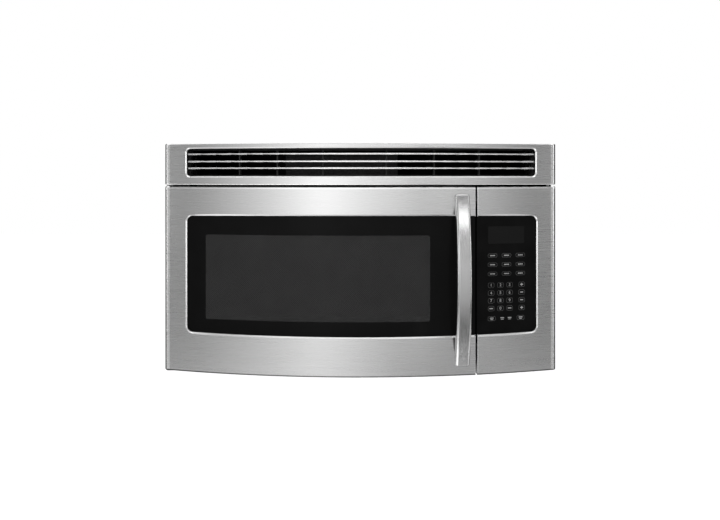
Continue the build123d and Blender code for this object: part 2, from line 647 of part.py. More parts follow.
def oven_cavity():
    """Open-fronted steel box with a front flange, shaft hole, waveguide mouth and lamp holes."""
    outer_y = (CAVITY_Y[0], CAVITY_Y[1] + SHEET)
    plan_out = cavity_plan(grow(CAVITY_X, SHEET), outer_y, CAVITY_ROUND + SHEET)
    plan_in = cavity_plan(CAVITY_X, CAVITY_Y, CAVITY_ROUND)
    box = along_z(plan_out, grow(CAVITY_Z, SHEET)) - along_z(plan_in, CAVITY_Z)
    flange_y = (CAVITY_Y[0], CAVITY_Y[0] + SHEET)
    flange_z = (CAVITY_Z[0] - CAVITY_FLANGE, CAVITY_Z[1] + SHEET)
    flange = block(grow(CAVITY_X, CAVITY_FLANGE), flange_y, flange_z)
    box = box + (flange - block(CAVITY_X, grow(flange_y, PAST), CAVITY_Z))
    below = (TURN_X, TURN_Y, CAVITY_FLOOR - SHEET - PAST)
    box = box - rod(below, (0, 0, 1), SHAFT_HOLE, SHEET + 2 * PAST)
    side = grow((CAVITY_X[1], BAY_LEFT), PAST)
    box = box - block(side, about(FEED_Y, FEED_SIZE[0]), about(FEED_Z, FEED_SIZE[1]))
    for row in range(LAMP_ROWS):
        for column in range(LAMP_ROWS):
            y, z = lamp_hole(row, column)
            box = box - rod((side[0], y, z), (1, 0, 0), LAMP_HOLE, side[1] - side[0])
    return box


def cavity_plan(x, y, corner):
    """Plan of the cavity, with its two back corners rounded."""
    plan = Pos(sum(x) / 2, sum(y) / 2) * Rectangle(x[1] - x[0], y[1] - y[0])
    return fillet(plan.vertices().sort_by(Axis.Y)[-2:], corner)


def lamp_middle():
    """Middle of the lamp's hole pattern on the cavity's right wall."""
    return (CAVITY_Y[1] - LAMP_CORNER, CAVITY_Z[1] - LAMP_CORNER)


def lamp_hole(row, column):
    """Y and Z of one hole of that pattern."""
    y, z = lamp_middle()
    offset = (LAMP_ROWS - 1) / 2
    return y + (column - offset) * LAMP_PITCH, z + (row - offset) * LAMP_PITCH


def waveguide_cover():
    """Mica sheet over the waveguide mouth, inside the cavity."""
    y = about(FEED_Y, FEED_SIZE[0] + 2 * FEED_LAP)
    z = about(FEED_Z, FEED_SIZE[1] + 2 * FEED_LAP)
    return along_x(rounded(y, z, FEED_LAP / 2), (CAVITY_X[1] - SHEET, CAVITY_X[1]))


def waveguide():
    """Channel that carries the microwaves from the magnetron to the cavity, with its flange."""
    y = about(FEED_Y, FEED_SIZE[0] + 2 * SHEET)
    z = about(FEED_Z, FEED_SIZE[1] + 2 * SHEET)
    end = BAY_LEFT + FEED_DEPTH
    channel = block((BAY_LEFT, end), y, z)
    flange = block((BAY_LEFT, BAY_LEFT + SHEET), grow(y, FEED_FLANGE), grow(z, FEED_FLANGE))
    hollow = block((BAY_LEFT - PAST, end - SHEET), grow(y, -SHEET), grow(z, -SHEET))
    start = (end - SHEET - PAST, FEED_Y, FEED_Z)
    port = rod(start, (1, 0, 0), ANTENNA[0] + FEED_GAP, SHEET + 2 * PAST)
    return channel + flange - hollow - port


def magnetron():
    """Magnetron: antenna, yoke, anode and its stack of cooling fins, and the filter box."""
    length, width, height = YOKE
    x = (BAY_LEFT + FEED_DEPTH, BAY_LEFT + FEED_DEPTH + length)
    yoke = block(x, about(FEED_Y, width), about(FEED_Z, height))
    inside = grow(about(FEED_Y, width), -YOKE_WALL)
    yoke = yoke - block(grow(x, -YOKE_WALL), inside, about(FEED_Z, height + 2 * PAST))
    anode = rod((x[0] + YOKE_WALL / 2, FEED_Y, FEED_Z), (1, 0, 0), ANODE, length - YOKE_WALL)
    antenna = rod((x[0] - ANTENNA[1], FEED_Y, FEED_Z), (1, 0, 0), ANTENNA[0], ANTENNA[1] + YOKE_WALL)
    body = yoke + anode + antenna
    room = grow(x, -3 * YOKE_WALL)
    pitch = (room[1] - room[0]) / (FINS - 1)
    for index in range(FINS):
        fin_x = about(room[0] + index * pitch, FIN_THICK)
        body = body + block(fin_x, grow(inside, YOKE_WALL / 4), about(FEED_Z, height - 3 * YOKE_WALL))
    box_x = (x[1], x[1] + MAGNETRON_BOX[0])
    return body + block(box_x, about(FEED_Y, MAGNETRON_BOX[1]), about(FEED_Z, MAGNETRON_BOX[2]))


def cavity_lamp():
    """Lamp and holder on the cavity's right wall, behind its round holes."""
    y, z = lamp_middle()
    depth, width, height = LAMP_HOLDER
    wall = 3 * SHEET
    holder = block((BAY_LEFT, BAY_LEFT + depth), about(y, width), about(z, height))
    hollow_x = (BAY_LEFT - PAST, BAY_LEFT + depth - 2 * wall)
    holder = holder - block(hollow_x, about(y, width - 2 * wall), about(z, height - 2 * wall))
    bulb = lamp_bulb((BAY_LEFT + depth / 2 - LAMP_BULB, y, z), (1, 0, 0), LAMP_BULB)
    socket = rod((BAY_LEFT + depth / 2 + SHEET, y, z), (1, 0, 0), LAMP_BULB - 1.5 * SHEET, depth / 2 - wall)
    return holder + bulb + socket


# ---- turntable -------------------------------------------------------------
def turntable_motor():
    """Flat synchronous motor under the cavity floor, with two ears, a plug and a socket."""
    top = CAVITY_FLOOR - SHEET
    low = top - MOTOR_HEIGHT
    motor = rod((TURN_X, TURN_Y, low), (0, 0, 1), MOTOR_RADIUS, MOTOR_HEIGHT)
    ears = Pos(TURN_X, TURN_Y) * SlotOverall(MOTOR_EARS[0], MOTOR_EARS[1])
    motor = motor + along_z(ears, (top - MOTOR_EARS[2], top))
    plug_y = (TURN_Y - MOTOR_RADIUS - MOTOR_PLUG / 2, TURN_Y)
    plug = block(about(TURN_X, MOTOR_PLUG), plug_y, (low, low + MOTOR_PLUG))
    start = (TURN_X, TURN_Y, top - SHAFT_SOCKET)
    return motor + plug - rod(start, (0, 0, 1), SHAFT_RADIUS + RUNNING, SHAFT_SOCKET + PAST)


def drive_coupler():
    """Three-lobed coupler under the tray, on the motor's shaft."""
    deck = TRAY_Z - COUPLER_HEAD
    hub_low = CAVITY_FLOOR + 2 * SHEET
    hub = rod((TURN_X, TURN_Y, hub_low), (0, 0, 1), COUPLER_HUB, deck - hub_low)
    lobes = Circle(COUPLER_HUB - SHEET)
    for index in range(COUPLER_LOBES):
        turn = Rot(0, 0, index * 360 / COUPLER_LOBES)
        lobes = lobes + turn * (Pos(COUPLER_RADIUS / 2, 0) * Rectangle(COUPLER_RADIUS, LOBE_WIDTH))
    head = along_z(Pos(TURN_X, TURN_Y) * lobes, (deck, TRAY_Z))
    shaft_low = CAVITY_FLOOR - SHEET - SHAFT_SOCKET + SHEET
    shaft = rod((TURN_X, TURN_Y, shaft_low), (0, 0, 1), SHAFT_RADIUS, deck - shaft_low)
    return hub + head + shaft


def wheel_places():
    """Angles of the wheels round the turntable's axis."""
    return [90 + index * 360 / WHEEL_COUNT for index in range(WHEEL_COUNT)]


def roller_ring():
    """Ring with a short headed axle for each wheel."""
    hoop = Circle(RING_RADIUS + RING_SECTION) - Circle(RING_RADIUS - RING_SECTION)
    ring = along_z(hoop, (-RING_SECTION, RING_SECTION))
    ring = chamfer(ring.edges().filter_by(GeomType.CIRCLE), RING_CHAMFER)
    head_at = WHEEL_PLACE + WHEEL_WIDTH / 2 + CLEAR
    for angle in wheel_places():
        axle = rod((RING_RADIUS, 0, 0), (1, 0, 0), AXLE_RADIUS, head_at + AXLE_END - RING_RADIUS)
        head = rod((head_at, 0, 0), (1, 0, 0), AXLE_RADIUS + AXLE_HEAD, AXLE_END)
        ring = ring + Rot(0, 0, angle) * (axle + head)
    return Pos(TURN_X, TURN_Y, WHEEL_Z) * ring


def roller_wheel(angle):
    """Wheel that runs on the cavity floor and carries the tray."""
    inner = WHEEL_PLACE - WHEEL_WIDTH / 2
    wheel = rod((inner, 0, 0), (1, 0, 0), WHEEL_RADIUS, WHEEL_WIDTH)
    wheel = chamfer(wheel.edges(), WHEEL_CHAMFER)
    bore = rod((inner - PAST, 0, 0), (1, 0, 0), AXLE_RADIUS + RUNNING, WHEEL_WIDTH + 2 * PAST)
    return Pos(TURN_X, TURN_Y, WHEEL_Z) * (Rot(0, 0, angle) * (wheel - bore))


def glass_tray():
    """Round glass tray with a sloping edge."""
    flat = TRAY_RADIUS - TRAY_SLOPE
    rim_low = TRAY_RIM - TRAY_LIP
    outline = Polyline(
        (0, 0), (flat, 0), (TRAY_RADIUS, rim_low), (TRAY_RADIUS, TRAY_RIM),
        (TRAY_RADIUS - TRAY_LIP, TRAY_RIM), (flat - TRAY_LIP / 2, TRAY_GLASS), (0, TRAY_GLASS), (0, 0),
    )
    dish = revolve(Plane.XZ * make_face(outline), Axis.Z)
    return Pos(TURN_X, TURN_Y, TRAY_Z) * dish


# ---- blower over the cavity ------------------------------------------------
def blower_deck():
    """Sheet over the cavity that carries the blower, open for the air that rises at its sides."""
    deck = block(about(0, 2 * INNER_X), (INNER_FRONT, INNER_BACK), DECK_Z)
    left_y = grow((INNER_FRONT, INNER_BACK), -DECK_EDGE)
    left = rounded((-INNER_X + DECK_LIP, CAVITY_X[0] - DECK_LIP), left_y, HOLE_CORNER)
    right_y = (INNER_FRONT + DECK_EDGE, INNER_FRONT + DECK_EDGE + DECK_VENT[1])
    right = rounded(about(FAN_X, DECK_VENT[0]), right_y, HOLE_CORNER)
    return deck - along_z(left, grow(DECK_Z, PAST)) - along_z(right, grow(DECK_Z, PAST))


def scroll_outline(wall=0.0):
    """Blower casing seen from its side, less a wall: a circle that runs on into an upright outlet."""
    radius = SCROLL_RADIUS - wall
    top = INNER_TOP - BLOWER_Z + wall * PAST
    outlet = (SCROLL_RADIUS - OUTLET + wall, radius)
    mouth = Pos(sum(outlet) / 2, top / 2) * Rectangle(outlet[1] - outlet[0], top)
    return Pos(BLOWER_Y, BLOWER_Z) * (Circle(radius) + mouth)


def blower_housing(side):
    """Scroll casing round one blower wheel, open at its outlet and at both inlets."""
    x = about(side * BLOWER_PITCH, BLOWER_WIDTH + 2 * SCROLL_SIDE + 2 * SCROLL_WALL)
    hollow = along_x(scroll_outline(SCROLL_WALL), grow(x, -SCROLL_WALL))
    inlets = rod((x[0] - PAST, BLOWER_Y, BLOWER_Z), (1, 0, 0), WHEEL_INNER, x[1] - x[0] + 2 * PAST)
    return along_x(scroll_outline(), x) - hollow - inlets


def blower_wheel(side):
    """Squirrel-cage wheel: a hub disc, slanted blades and a ring at each end."""
    x = about(side * BLOWER_PITCH, BLOWER_WIDTH)
    disc_x = about(side * BLOWER_PITCH, WHEEL_DISC)
    wheel = along_x(Circle(WHEEL_OUTER - RUNNING), disc_x)
    wheel = wheel + along_x(Circle(BLOWER_SHAFT + HUB_WALL), about(side * BLOWER_PITCH, HUB_LENGTH))
    ring = Circle(WHEEL_OUTER) - Circle(WHEEL_INNER + SHEET)
    for ring_x in ((x[0], x[0] + WHEEL_RING), (x[1] - WHEEL_RING, x[1])):
        wheel = wheel + along_x(ring, ring_x)
    width = WHEEL_OUTER - WHEEL_INNER - WHEEL_RING
    blade = Rot(0, 0, BLADE_TILT) * Rectangle(width, BLADE_THICK)
    blade = Pos((WHEEL_OUTER + WHEEL_INNER + SHEET) / 2, 0) * blade
    blades = [Rot(0, 0, index * 360 / BLADES) * blade for index in range(BLADES)]
    wheel = wheel + along_x(Sketch(children=blades), grow(x, -PAST))
    bore = rod((x[0] - PAST, 0, 0), (1, 0, 0), BLOWER_SHAFT, BLOWER_WIDTH + 2 * PAST)
    return Pos(0, BLOWER_Y, BLOWER_Z) * (wheel - bore)


def blower_shaft():
    """Shaft through the motor that carries both wheels."""
    half = BLOWER_PITCH + SHAFT_END
    return rod((-half, BLOWER_Y, BLOWER_Z), (1, 0, 0), BLOWER_SHAFT, 2 * half)


def blower_motor():
    """Motor between the scrolls, on a saddle that stands on the deck."""
    radius, length = BLOWER_MOTOR
    can = rod((-length / 2, BLOWER_Y, BLOWER_Z), (1, 0, 0), radius, length)
    can = chamfer(can.edges(), MOTOR_CHAMFER)
    saddle = block(about(0, SADDLE[0]), about(BLOWER_Y, SADDLE[1]), (DECK_Z[1], BLOWER_Z))
    start = (-length / 2 - PAST, BLOWER_Y, BLOWER_Z)
    bore = rod(start, (1, 0, 0), BLOWER_SHAFT + RUNNING, length + 2 * PAST)
    return can + saddle - bore


def damper_housing():
    """Duct collar with a foot on the case top and holes for the flap's pins."""
    foot_z = (CASE_TOP, CASE_TOP + SHEET)
    foot = block(about(0, DUCT_WIDTH + 2 * COLLAR_FOOT), grow(DUCT_Y, COLLAR_FOOT), foot_z)
    collar_z = (CASE_TOP, CASE_TOP + DUCT_COLLAR)
    collar = block(about(0, DUCT_WIDTH), DUCT_Y, collar_z)
    bore = block(about(0, DUCT_WIDTH - 2 * SHEET), grow(DUCT_Y, -SHEET), grow(collar_z, PAST))
    start = (-DUCT_WIDTH / 2 - PAST, FLAP_Y, FLAP_Z)
    pins = rod(start, (1, 0, 0), FLAP_PIN + RUNNING, DUCT_WIDTH + 2 * PAST)
    return foot + collar - bore - pins


def damper_flap():
    """Flap that the blower lifts, with a pin at each end of its back edge."""
    x = about(0, DUCT_WIDTH - 2 * SHEET - 2 * FLAP_GAP)
    leaf = block(x, (DUCT_Y[0] + SHEET + FLAP_GAP, FLAP_Y), about(FLAP_Z, FLAP_THICK))
    half = DUCT_WIDTH / 2 - FLUSH
    return leaf + rod((-half, FLAP_Y, FLAP_Z), (1, 0, 0), FLAP_PIN, 2 * half)


def charcoal_filter():
    """Framed charcoal pad that stands on the deck behind the grille."""
    left = VENT_X[0] + FILTER_LEFT
    x = (left, left + FILTER_SIZE[0])
    y = (INNER_FRONT, INNER_FRONT + FILTER_SIZE[1])
    z = (DECK_Z[1], INNER_TOP - FILTER_SIZE[2])
    frame = block(x, y, z)
    face = rounded(grow(x, -FILTER_FRAME), grow(z, -FILTER_FRAME), FILTER_FRAME / 2)
    return frame - along_y(face, (y[0] - PAST, y[0] + PAD_DEPTH))


# ---- underside -------------------------------------------------------------
def grease_filter(side):
    """Aluminium mesh filter that lies on the base plate's edges, with a pull tab below."""
    z = (SHEET, SHEET + GREASE_THICK)
    frame = along_z(rounded(grease_x(side), grease_y(), HOLE_CORNER + SHEET), z)
    mesh = rounded(grow(grease_x(side), -GREASE_FRAME), grow(grease_y(), -GREASE_FRAME), HOLE_CORNER)
    for face in ((z[0] - PAST, z[0] + 2 * SHEET), (z[1] - 2 * SHEET, z[1] + PAST)):
        frame = frame - along_z(mesh, face)
    tab_y = about(grease_y()[0] + PULL_TAB_PLACE, PULL_TAB[1])
    tab = rounded(about(sum(grease_x(side)) / 2, PULL_TAB[0]), tab_y, HOLE_CORNER)
    return frame + along_z(tab, (FLUSH, z[0] + 2 * SHEET))


def lamp_lens(side):
    """Glass plate over a cooktop lamp, lying on the base plate's edges."""
    plate = rounded(lens_x(side), lens_y(), LENS_CORNER)
    drop = rounded(grow(lens_x(side), -LENS_LAP - CLEAR), grow(lens_y(), -LENS_LAP - CLEAR), HOLE_CORNER)
    return along_z(plate, (SHEET, SHEET + LENS_GLASS)) + along_z(drop, (FLUSH, SHEET))


def lamp_housing(side):
    """Reflector box over a cooktop lens, with a hole for the lamp's socket."""
    z = (SHEET + LENS_GLASS, SHEET + LENS_GLASS + LAMP_HOUSING)
    outer = along_z(rounded(lens_x(side), lens_y(), LENS_CORNER), z)
    inside = rounded(grow(lens_x(side), -SHEET), grow(lens_y(), -SHEET), LENS_CORNER - SHEET)
    inner = along_z(inside, (z[0] - PAST, z[1] - SHEET))
    socket = rod((side * LENS_X, LENS_Y, z[0]), (0, 0, 1), LAMP_SOCKET[0], LAMP_HOUSING + PAST)
    return outer - inner - socket


def cooktop_lamp(side):
    """Bulb in its socket, hanging from the top of the lamp housing."""
    top = SHEET + LENS_GLASS + LAMP_HOUSING
    socket_low = top - LAMP_SOCKET[1] / 2
    socket = rod((side * LENS_X, LENS_Y, socket_low), (0, 0, 1), LAMP_SOCKET[0], LAMP_SOCKET[1])
    collar = rod((side * LENS_X, LENS_Y, top), (0, 0, 1), LAMP_COLLAR[0], LAMP_COLLAR[1])
    bulb = lamp_bulb((side * LENS_X, LENS_Y, top - LAMP_DROP - BULB), (0, 0, 1), BULB)
    return socket + collar + bulb


# ---- electrical bay --------------------------------------------------------
def fan_frame():
    """Square plate with a round throat for the cooling fan, on four legs from the back."""
    plate = block(about(FAN_X, FAN_FRAME), (FAN_Y - FAN_PLATE, FAN_Y), about(FAN_Z, FAN_FRAME))
    throat = rod((FAN_X, FAN_Y + PAST, FAN_Z), (0, -1, 0), FAN_RADIUS + FAN_THROAT, FAN_PLATE + 2 * PAST)
    plate = plate - throat
    corner = FAN_FRAME / 2 - FAN_LEG[1]
    for x in (-corner, corner):
        for z in (-corner, corner):
            foot = (FAN_X + x, INNER_BACK, FAN_Z + z)
            plate = plate + rod(foot, (0, -1, 0), FAN_LEG[0], FAN_BACK + FAN_PLATE / 2)
    return plate


def fan_motor():
    """Shaded-pole motor on a bar across the fan's throat."""
    bar_y = (FAN_Y, FAN_Y + FAN_PLATE)
    bar = block(about(FAN_X, FAN_FRAME), bar_y, about(FAN_Z, FAN_BAR))
    core_y = (bar_y[1], bar_y[1] + FAN_CORE[1])
    core = block(about(FAN_X, FAN_CORE[0]), core_y, about(FAN_Z, FAN_CORE[2]))
    coil_low = FAN_Z - FAN_CORE[2] / 2 - FAN_COIL[1] / 2
    coil = rod((FAN_X, sum(core_y) / 2, coil_low), (0, 0, 1), FAN_COIL[0], FAN_COIL[1])
    bore = rod((FAN_X, FAN_Y - PAST, FAN_Z), (0, 1, 0), FAN_SHAFT + RUNNING, FAN_SHAFT_IN + 2 * PAST)
    return bar + core + coil - bore


def fan_rotor():
    """Hub with pitched blades and the shaft that runs in the motor."""
    shaft = rod((0, FAN_SHAFT_IN, 0), (0, -1, 0), FAN_SHAFT, FAN_SHAFT_IN + FAN_DEPTH)
    rotor = shaft + rod((0, -CLEAR, 0), (0, -1, 0), FAN_HUB, FAN_DEPTH)
    reach = (FAN_HUB - 2 * FAN_BLADE_THICK, FAN_RADIUS + PAST)
    blade = Box(reach[1] - reach[0], FAN_BLADE_THICK, FAN_BLADE_WIDTH)
    blade = Pos(sum(reach) / 2, -FAN_DEPTH / 2, 0) * (Rot(FAN_PITCH, 0, 0) * blade)
    limit = rod((0, -CLEAR, 0), (0, -1, 0), FAN_RADIUS, FAN_DEPTH)
    for index in range(FAN_BLADES):
        rotor = rotor + (Rot(0, index * 360 / FAN_BLADES, 0) * blade & limit)
    return Pos(FAN_X, FAN_Y - FAN_PLATE, FAN_Z) * rotor


def hv_transformer():
    """High-voltage transformer: laminated core, two windings and a foot on the base."""
    width, depth, height = TRANSFORMER
    right = INNER_X - TRANSFORMER_SIDE
    x = (right - width, right)
    y = (INNER_FRONT + TRANSFORMER_FRONT, INNER_FRONT + TRANSFORMER_FRONT + depth)
    z = (SHEET + TRANSFORMER_FOOT[1], SHEET + TRANSFORMER_FOOT[1] + height)
    body = block(grow(x, TRANSFORMER_FOOT[0]), y, (SHEET, z[0]))
    body = body + block(x, grow(y, -CORE_INSET), z)
    for share in WINDINGS:
        outline = rounded(grow(x, -CORE_INSET), y, WINDING_ROUND)
        body = body + along_z(outline, about(z[0] + height * share, height * WINDING_SHARE))
    return body


def hv_capacitor():
    """Oval capacitor can with a rim and two terminals, standing on the base."""
    width, depth, height = CAPACITOR
    place = Pos(INNER_X - CAPACITOR_SIDE - width / 2, INNER_BACK - CAPACITOR_BACK)
    can_z = (SHEET, SHEET + height)
    can = along_z(place * SlotOverall(width, depth), can_z)
    rise, thick = CAPACITOR_RIM
    rim = place * SlotOverall(width + 2 * rise, depth + 2 * rise)
    can = can + along_z(rim, (can_z[1], can_z[1] + thick))
    for side in (-1, 1):
        pin = place * (Pos(side * TERMINAL_PITCH / 2, 0) * Circle(TERMINAL[0]))
        can = can + along_z(pin, (can_z[1] + thick, can_z[1] + thick + TERMINAL[1]))
    return can


def interlock_bracket():
    """Plastic bracket behind the hook slots, with a ledge that each hook catches."""
    left = LATCH_X - LATCH_THICK / 2 - LATCH_SWING
    wall = LATCH_X + LATCH_THICK / 2 + LATCH_SWING + PAST
    z = (HOOK_Z[0] - BRACKET_END, HOOK_Z[1] + BRACKET_END)
    bracket = block((wall, wall + CHASSIS), (INNER_FRONT, INNER_FRONT + BRACKET_DEPTH), z)
    ledge_y = (INNER_FRONT, HOOK_TIP - HOOK_NOSE - CLEAR)
    for hook in HOOK_Z:
        top = hook - HOOK_HEIGHT / 2 - CLEAR
        bracket = bracket + block((left, wall), ledge_y, (top - HOOK_DROP - LEDGE, top))
    return bracket


def interlock_switches():
    """Three micro-switches on the bracket, two of them worked by the hooks' noses."""
    x = (LATCH_X - LATCH_THICK / 2, LATCH_X + LATCH_THICK / 2 + LATCH_SWING + PAST)
    body_y = (HOOK_TIP + SWITCH_BUTTON, HOOK_TIP + SWITCH_BUTTON + SWITCH[0])
    group = []
    for height in (HOOK_Z[0], HOOK_Z[0] + SWITCH_STACK, HOOK_Z[1]):
        body = block(x, body_y, about(height, SWITCH[1]))
        button_z = about(height - SWITCH_BUTTON / 2, SWITCH_BUTTON)
        button = block(about(sum(x) / 2, SWITCH_BUTTON), (HOOK_TIP + CLEAR, body_y[0]), button_z)
        group.append(body + button)
    return Compound(children=group)


def cord_inlet():
    """Grommet in the case top where the supply lead enters."""
    rise, thick = GROMMET_FLANGE
    z = (INNER_TOP - thick, CASE_TOP + thick)
    x, y, low = cord_place(z[0])
    grommet = rod((x, y, low), (0, 0, 1), CORD_HOLE, z[1] - z[0])
    for flange_z in (z[0], CASE_TOP):
        grommet = grommet + rod((x, y, flange_z), (0, 0, 1), CORD_HOLE + rise, thick)
    return grommet - rod((x, y, low - PAST), (0, 0, 1), CORD_BORE, z[1] - z[0] + 2 * PAST)


def filter_board():
    """Mains filter board on four posts from the deck's underside, with a choke and a suppressor."""
    x = about(FAN_X + MAINS_BOARD_SHIFT, MAINS_BOARD[0])
    y = about(INNER_BACK - MAINS_BOARD_BACK, MAINS_BOARD[1])
    z = DECK_Z[0] - MAINS_BOARD_DROP
    board = block(x, y, (z, z + BOARD))
    for px in grow(x, -MAINS_POST[1]):
        for py in grow(y, -MAINS_POST[1]):
            board = board + rod((px, py, z), (0, 0, 1), MAINS_POST[0], MAINS_BOARD_DROP)
    choke = rod((x[0] + CHOKE_COIL_PLACE, sum(y) / 2, z), (0, 0, -1), CHOKE_COIL[0], CHOKE_COIL[1])
    right = x[1] - SUPPRESSOR[0] / 2
    suppressor_y = about(sum(y) / 2, SUPPRESSOR[1])
    suppressor = block((right - SUPPRESSOR[0], right), suppressor_y, (z - SUPPRESSOR[2], z))
    return board + choke + suppressor


# ---- control panel ---------------------------------------------------------
def control_bezel():
    """Steel face of the control panel, open at its left where the black sheet runs in, and its lip."""
    face = lower_front(PANEL_X, Y_FRONT, (PANEL_X[0], PANEL_X[0] + SKIN))
    lip_x = (PANEL_X[0] + SKIN, PANEL_X[1] - SKIN)
    lip_y = (Y_FRONT - LIP_PLACE - SKIN, Y_FRONT - LIP_PLACE)
    return face + block(lip_x, lip_y, (DOOR_Z[1] - SKIN, GRILLE_Z[0] - CLEAR))


def glazing(x, free_side, thickness):
    """Bowed sheet behind the rim that fills the window on one front piece, out to its free side."""
    insets = (RIM_DEPTH, RIM_DEPTH + thickness)
    z = grow(WINDOW_Z, RIM_WIDTH)
    behind = bow_band(grow(x, -SKIN - CLEAR), z, insets)
    behind = behind & along_y(window_outline(RIM_WIDTH - PAST), FRONT_REACH)
    edge_x = (x[1] - EDGE_STRIP, x[1]) if free_side > 0 else (x[0], x[0] + EDGE_STRIP)
    edge = bow_band(edge_x, z, insets) & along_y(window_outline(-CLEAR), FRONT_REACH)
    return behind + edge


def display_box():
    """X and Z of the display window."""
    x = (PANEL_X[0] + DISPLAY_LEFT, PANEL_X[0] + DISPLAY_LEFT + DISPLAY_WIDTH)
    z = (WINDOW_Z[1] - DISPLAY_BELOW_TOP - DISPLAY_HEIGHT, WINDOW_Z[1] - DISPLAY_BELOW_TOP)
    return x, z


def keypad_overlay():
    """Black sheet on the control panel, cut out for the display."""
    x, z = display_box()
    return glazing(PANEL_X, -1, OVERLAY) - along_y(rounded(x, z, DISPLAY_CORNER), FRONT_REACH)


def display_window():
    """Tinted window of the display, flush in the black sheet."""
    x, z = display_box()
    band = bow_band(x, z, (RIM_DEPTH, RIM_DEPTH + OVERLAY))
    return band & along_y(rounded(grow(x, -RUNNING), grow(z, -RUNNING), DISPLAY_CORNER), FRONT_REACH)


def key_pads():
    """Raised membrane keys: a block of mode keys, a block of digits and a lower row."""
    outlines = []
    for row in range(MODE_ROWS):
        for column in range(MODE_COLUMNS):
            outlines.append((MODE_LEFT + column * MODE_PITCH, MODE_ROW[0] + row * MODE_ROW[1], MODE_PAD))
    for row in range(DIGIT_ROWS):
        for x in DIGIT_COLUMNS:
            outlines.append((x, DIGIT_ROW[0] + row * DIGIT_ROW[1], DIGIT_PAD))
    for x in FOOT_COLUMNS:
        outlines.append((x, FOOT_ROW, DIGIT_PAD))
    pads = []
    for x, share, size in outlines:
        span_x = about(PANEL_X[0] + x, size[0])
        span_z = about(WINDOW_Z[1] - share * (WINDOW_Z[1] - WINDOW_Z[0]), size[1])
        pads.append(bow_band(span_x, span_z, (RIM_DEPTH - PAD_RISE, RIM_DEPTH)))
    return Compound(children=pads)


def control_chassis():
    """Plastic box behind the black sheet, open at its back, with posts for the board."""
    front = RIM_DEPTH + OVERLAY
    corner = (0.0, END_ROUND / 2)
    outer = bow_block(grow(PANEL_X, -SKIN), grow(DOOR_Z, -SKIN), Y_FRONT, front, corner)
    wall = -SKIN - CHASSIS
    inner = bow_block(grow(PANEL_X, wall), grow(DOOR_Z, wall), FRONT_REACH[1], front + CHASSIS)
    window_x, window_z = display_box()
    window = rounded(grow(window_x, -DISPLAY_LAP), grow(window_z, -DISPLAY_LAP), DISPLAY_CORNER)
    shell = outer - inner - along_y(window, FRONT_REACH)
    for x in grow(board_x(), -POST):
        for z in grow(board_z(), -POST):
            post_y = (bow_y(x, front + CHASSIS / 2), BOARD_Y)
            shell = shell + block(about(x, POST), post_y, about(z, POST))
    return shell


def board_x():
    """X span of the control board."""
    return grow(PANEL_X, -BOARD_INSET)


def board_z():
    """Z span of the control board."""
    return grow(WINDOW_Z, BOARD_ABOVE)


def control_board():
    """Circuit board with the display tube on its front, and relays and a transformer behind."""
    back = BOARD_Y + BOARD
    board = block(board_x(), (BOARD_Y, back), board_z())
    middle = sum(board_x()) / 2
    width, depth, height = COIL_BLOCK
    coil_z = about(board_z()[0] + height, height)
    board = board + block(about(middle - width / 2, width), (back, back + depth), coil_z)
    for index in range(RELAYS):
        relay_z = board_z()[0] + RELAY_FIRST + index * RELAY_PITCH
        relay_x = about(middle + RELAY[0], RELAY[0])
        board = board + block(relay_x, (back, back + RELAY[1]), about(relay_z, RELAY[2]))
    x, z = display_box()
    tube_front = bow_y(x[1], RIM_DEPTH + OVERLAY + CHASSIS) + CLEAR
    return board + block(x, (tube_front, back), z)


# ---- door ------------------------------------------------------------------
def hinge_hole(radius):
    """Hole on the hinge axis through the door's full height."""
    z = grow(DOOR_Z, PAST)
    return rod((HINGE[0], HINGE[1], z[0]), (0, 0, 1), radius, z[1] - z[0])


def door_skin():
    """Bowed stainless face of the door, with holes for its hinge pins and handle screws."""
    skin = lower_front(DOOR_X, Y_DOOR, (DOOR_X[1] - SKIN, DOOR_X[1]))
    skin = skin - hinge_hole(PIN_RADIUS + SHEET / 2)
    for z in screw_heights():
        start = (HANDLE_X, HANDLE_SKIN - PAST, z)
        skin = skin - rod(start, (0, 1, 0), SCREW_SHANK + SHEET / 2, SKIN + 2 * PAST)
    return skin


def door_glass():
    """Black-bordered glass behind the skin's rim, out to the door's free edge."""
    return glazing(DOOR_X, 1, GLASS)


def door_screen():
    """Perforated steel screen on the inner pan."""
    shape = crowned(grow(SCREEN_X, SCREEN_LAP), grow(SCREEN_Z, SCREEN_LAP), SCREEN_CROWN, SCREEN_CORNER)
    return along_y(shape, (Y_PAN - SHEET - MESH, Y_PAN - SHEET))


def inner_x():
    """X span inside the door's skin."""
    return grow(DOOR_X, -SKIN)


def inner_z():
    """Z span inside the door's skin."""
    return grow(DOOR_Z, -SKIN)


def door_pan():
    """Pressed inner pan with walls, an opening behind the screen and an ear at each hinge."""
    x = inner_x()
    z = inner_z()
    pan = block(x, (Y_PAN - PAN_DEPTH, Y_PAN), z)
    pan = pan - block(grow(x, -SHEET), (Y_PAN - PAN_DEPTH - PAST, Y_PAN - SHEET), grow(z, -SHEET))
    through = grow((Y_PAN - SHEET, Y_PAN), PAST)
    pan = pan - along_y(crowned(SCREEN_X, SCREEN_Z, SCREEN_CROWN, SCREEN_CORNER), through)
    reach = PIN_RADIUS + BUSH_WALL
    ear_x = (x[0], HINGE[0] + reach + EAR_WALL)
    ear_y = (HINGE[1] - reach - SHEET, Y_PAN)
    height = bush_height()
    for ear_z in ((z[0], z[0] + height), (z[1] - height, z[1])):
        ear = block(ear_x, ear_y, ear_z)
        corner = ear.edges().filter_by(Axis.Z).sort_by(lambda e: e.center().X + e.center().Y)[0]
        pan = pan + fillet(corner, END_ROUND - SKIN)
    pan = pan - hinge_hole(reach)
    for hook in HOOK_Z:
        pan = pan - hook_slot(hook, CLEAR, through)
    return pan + spring_lug()


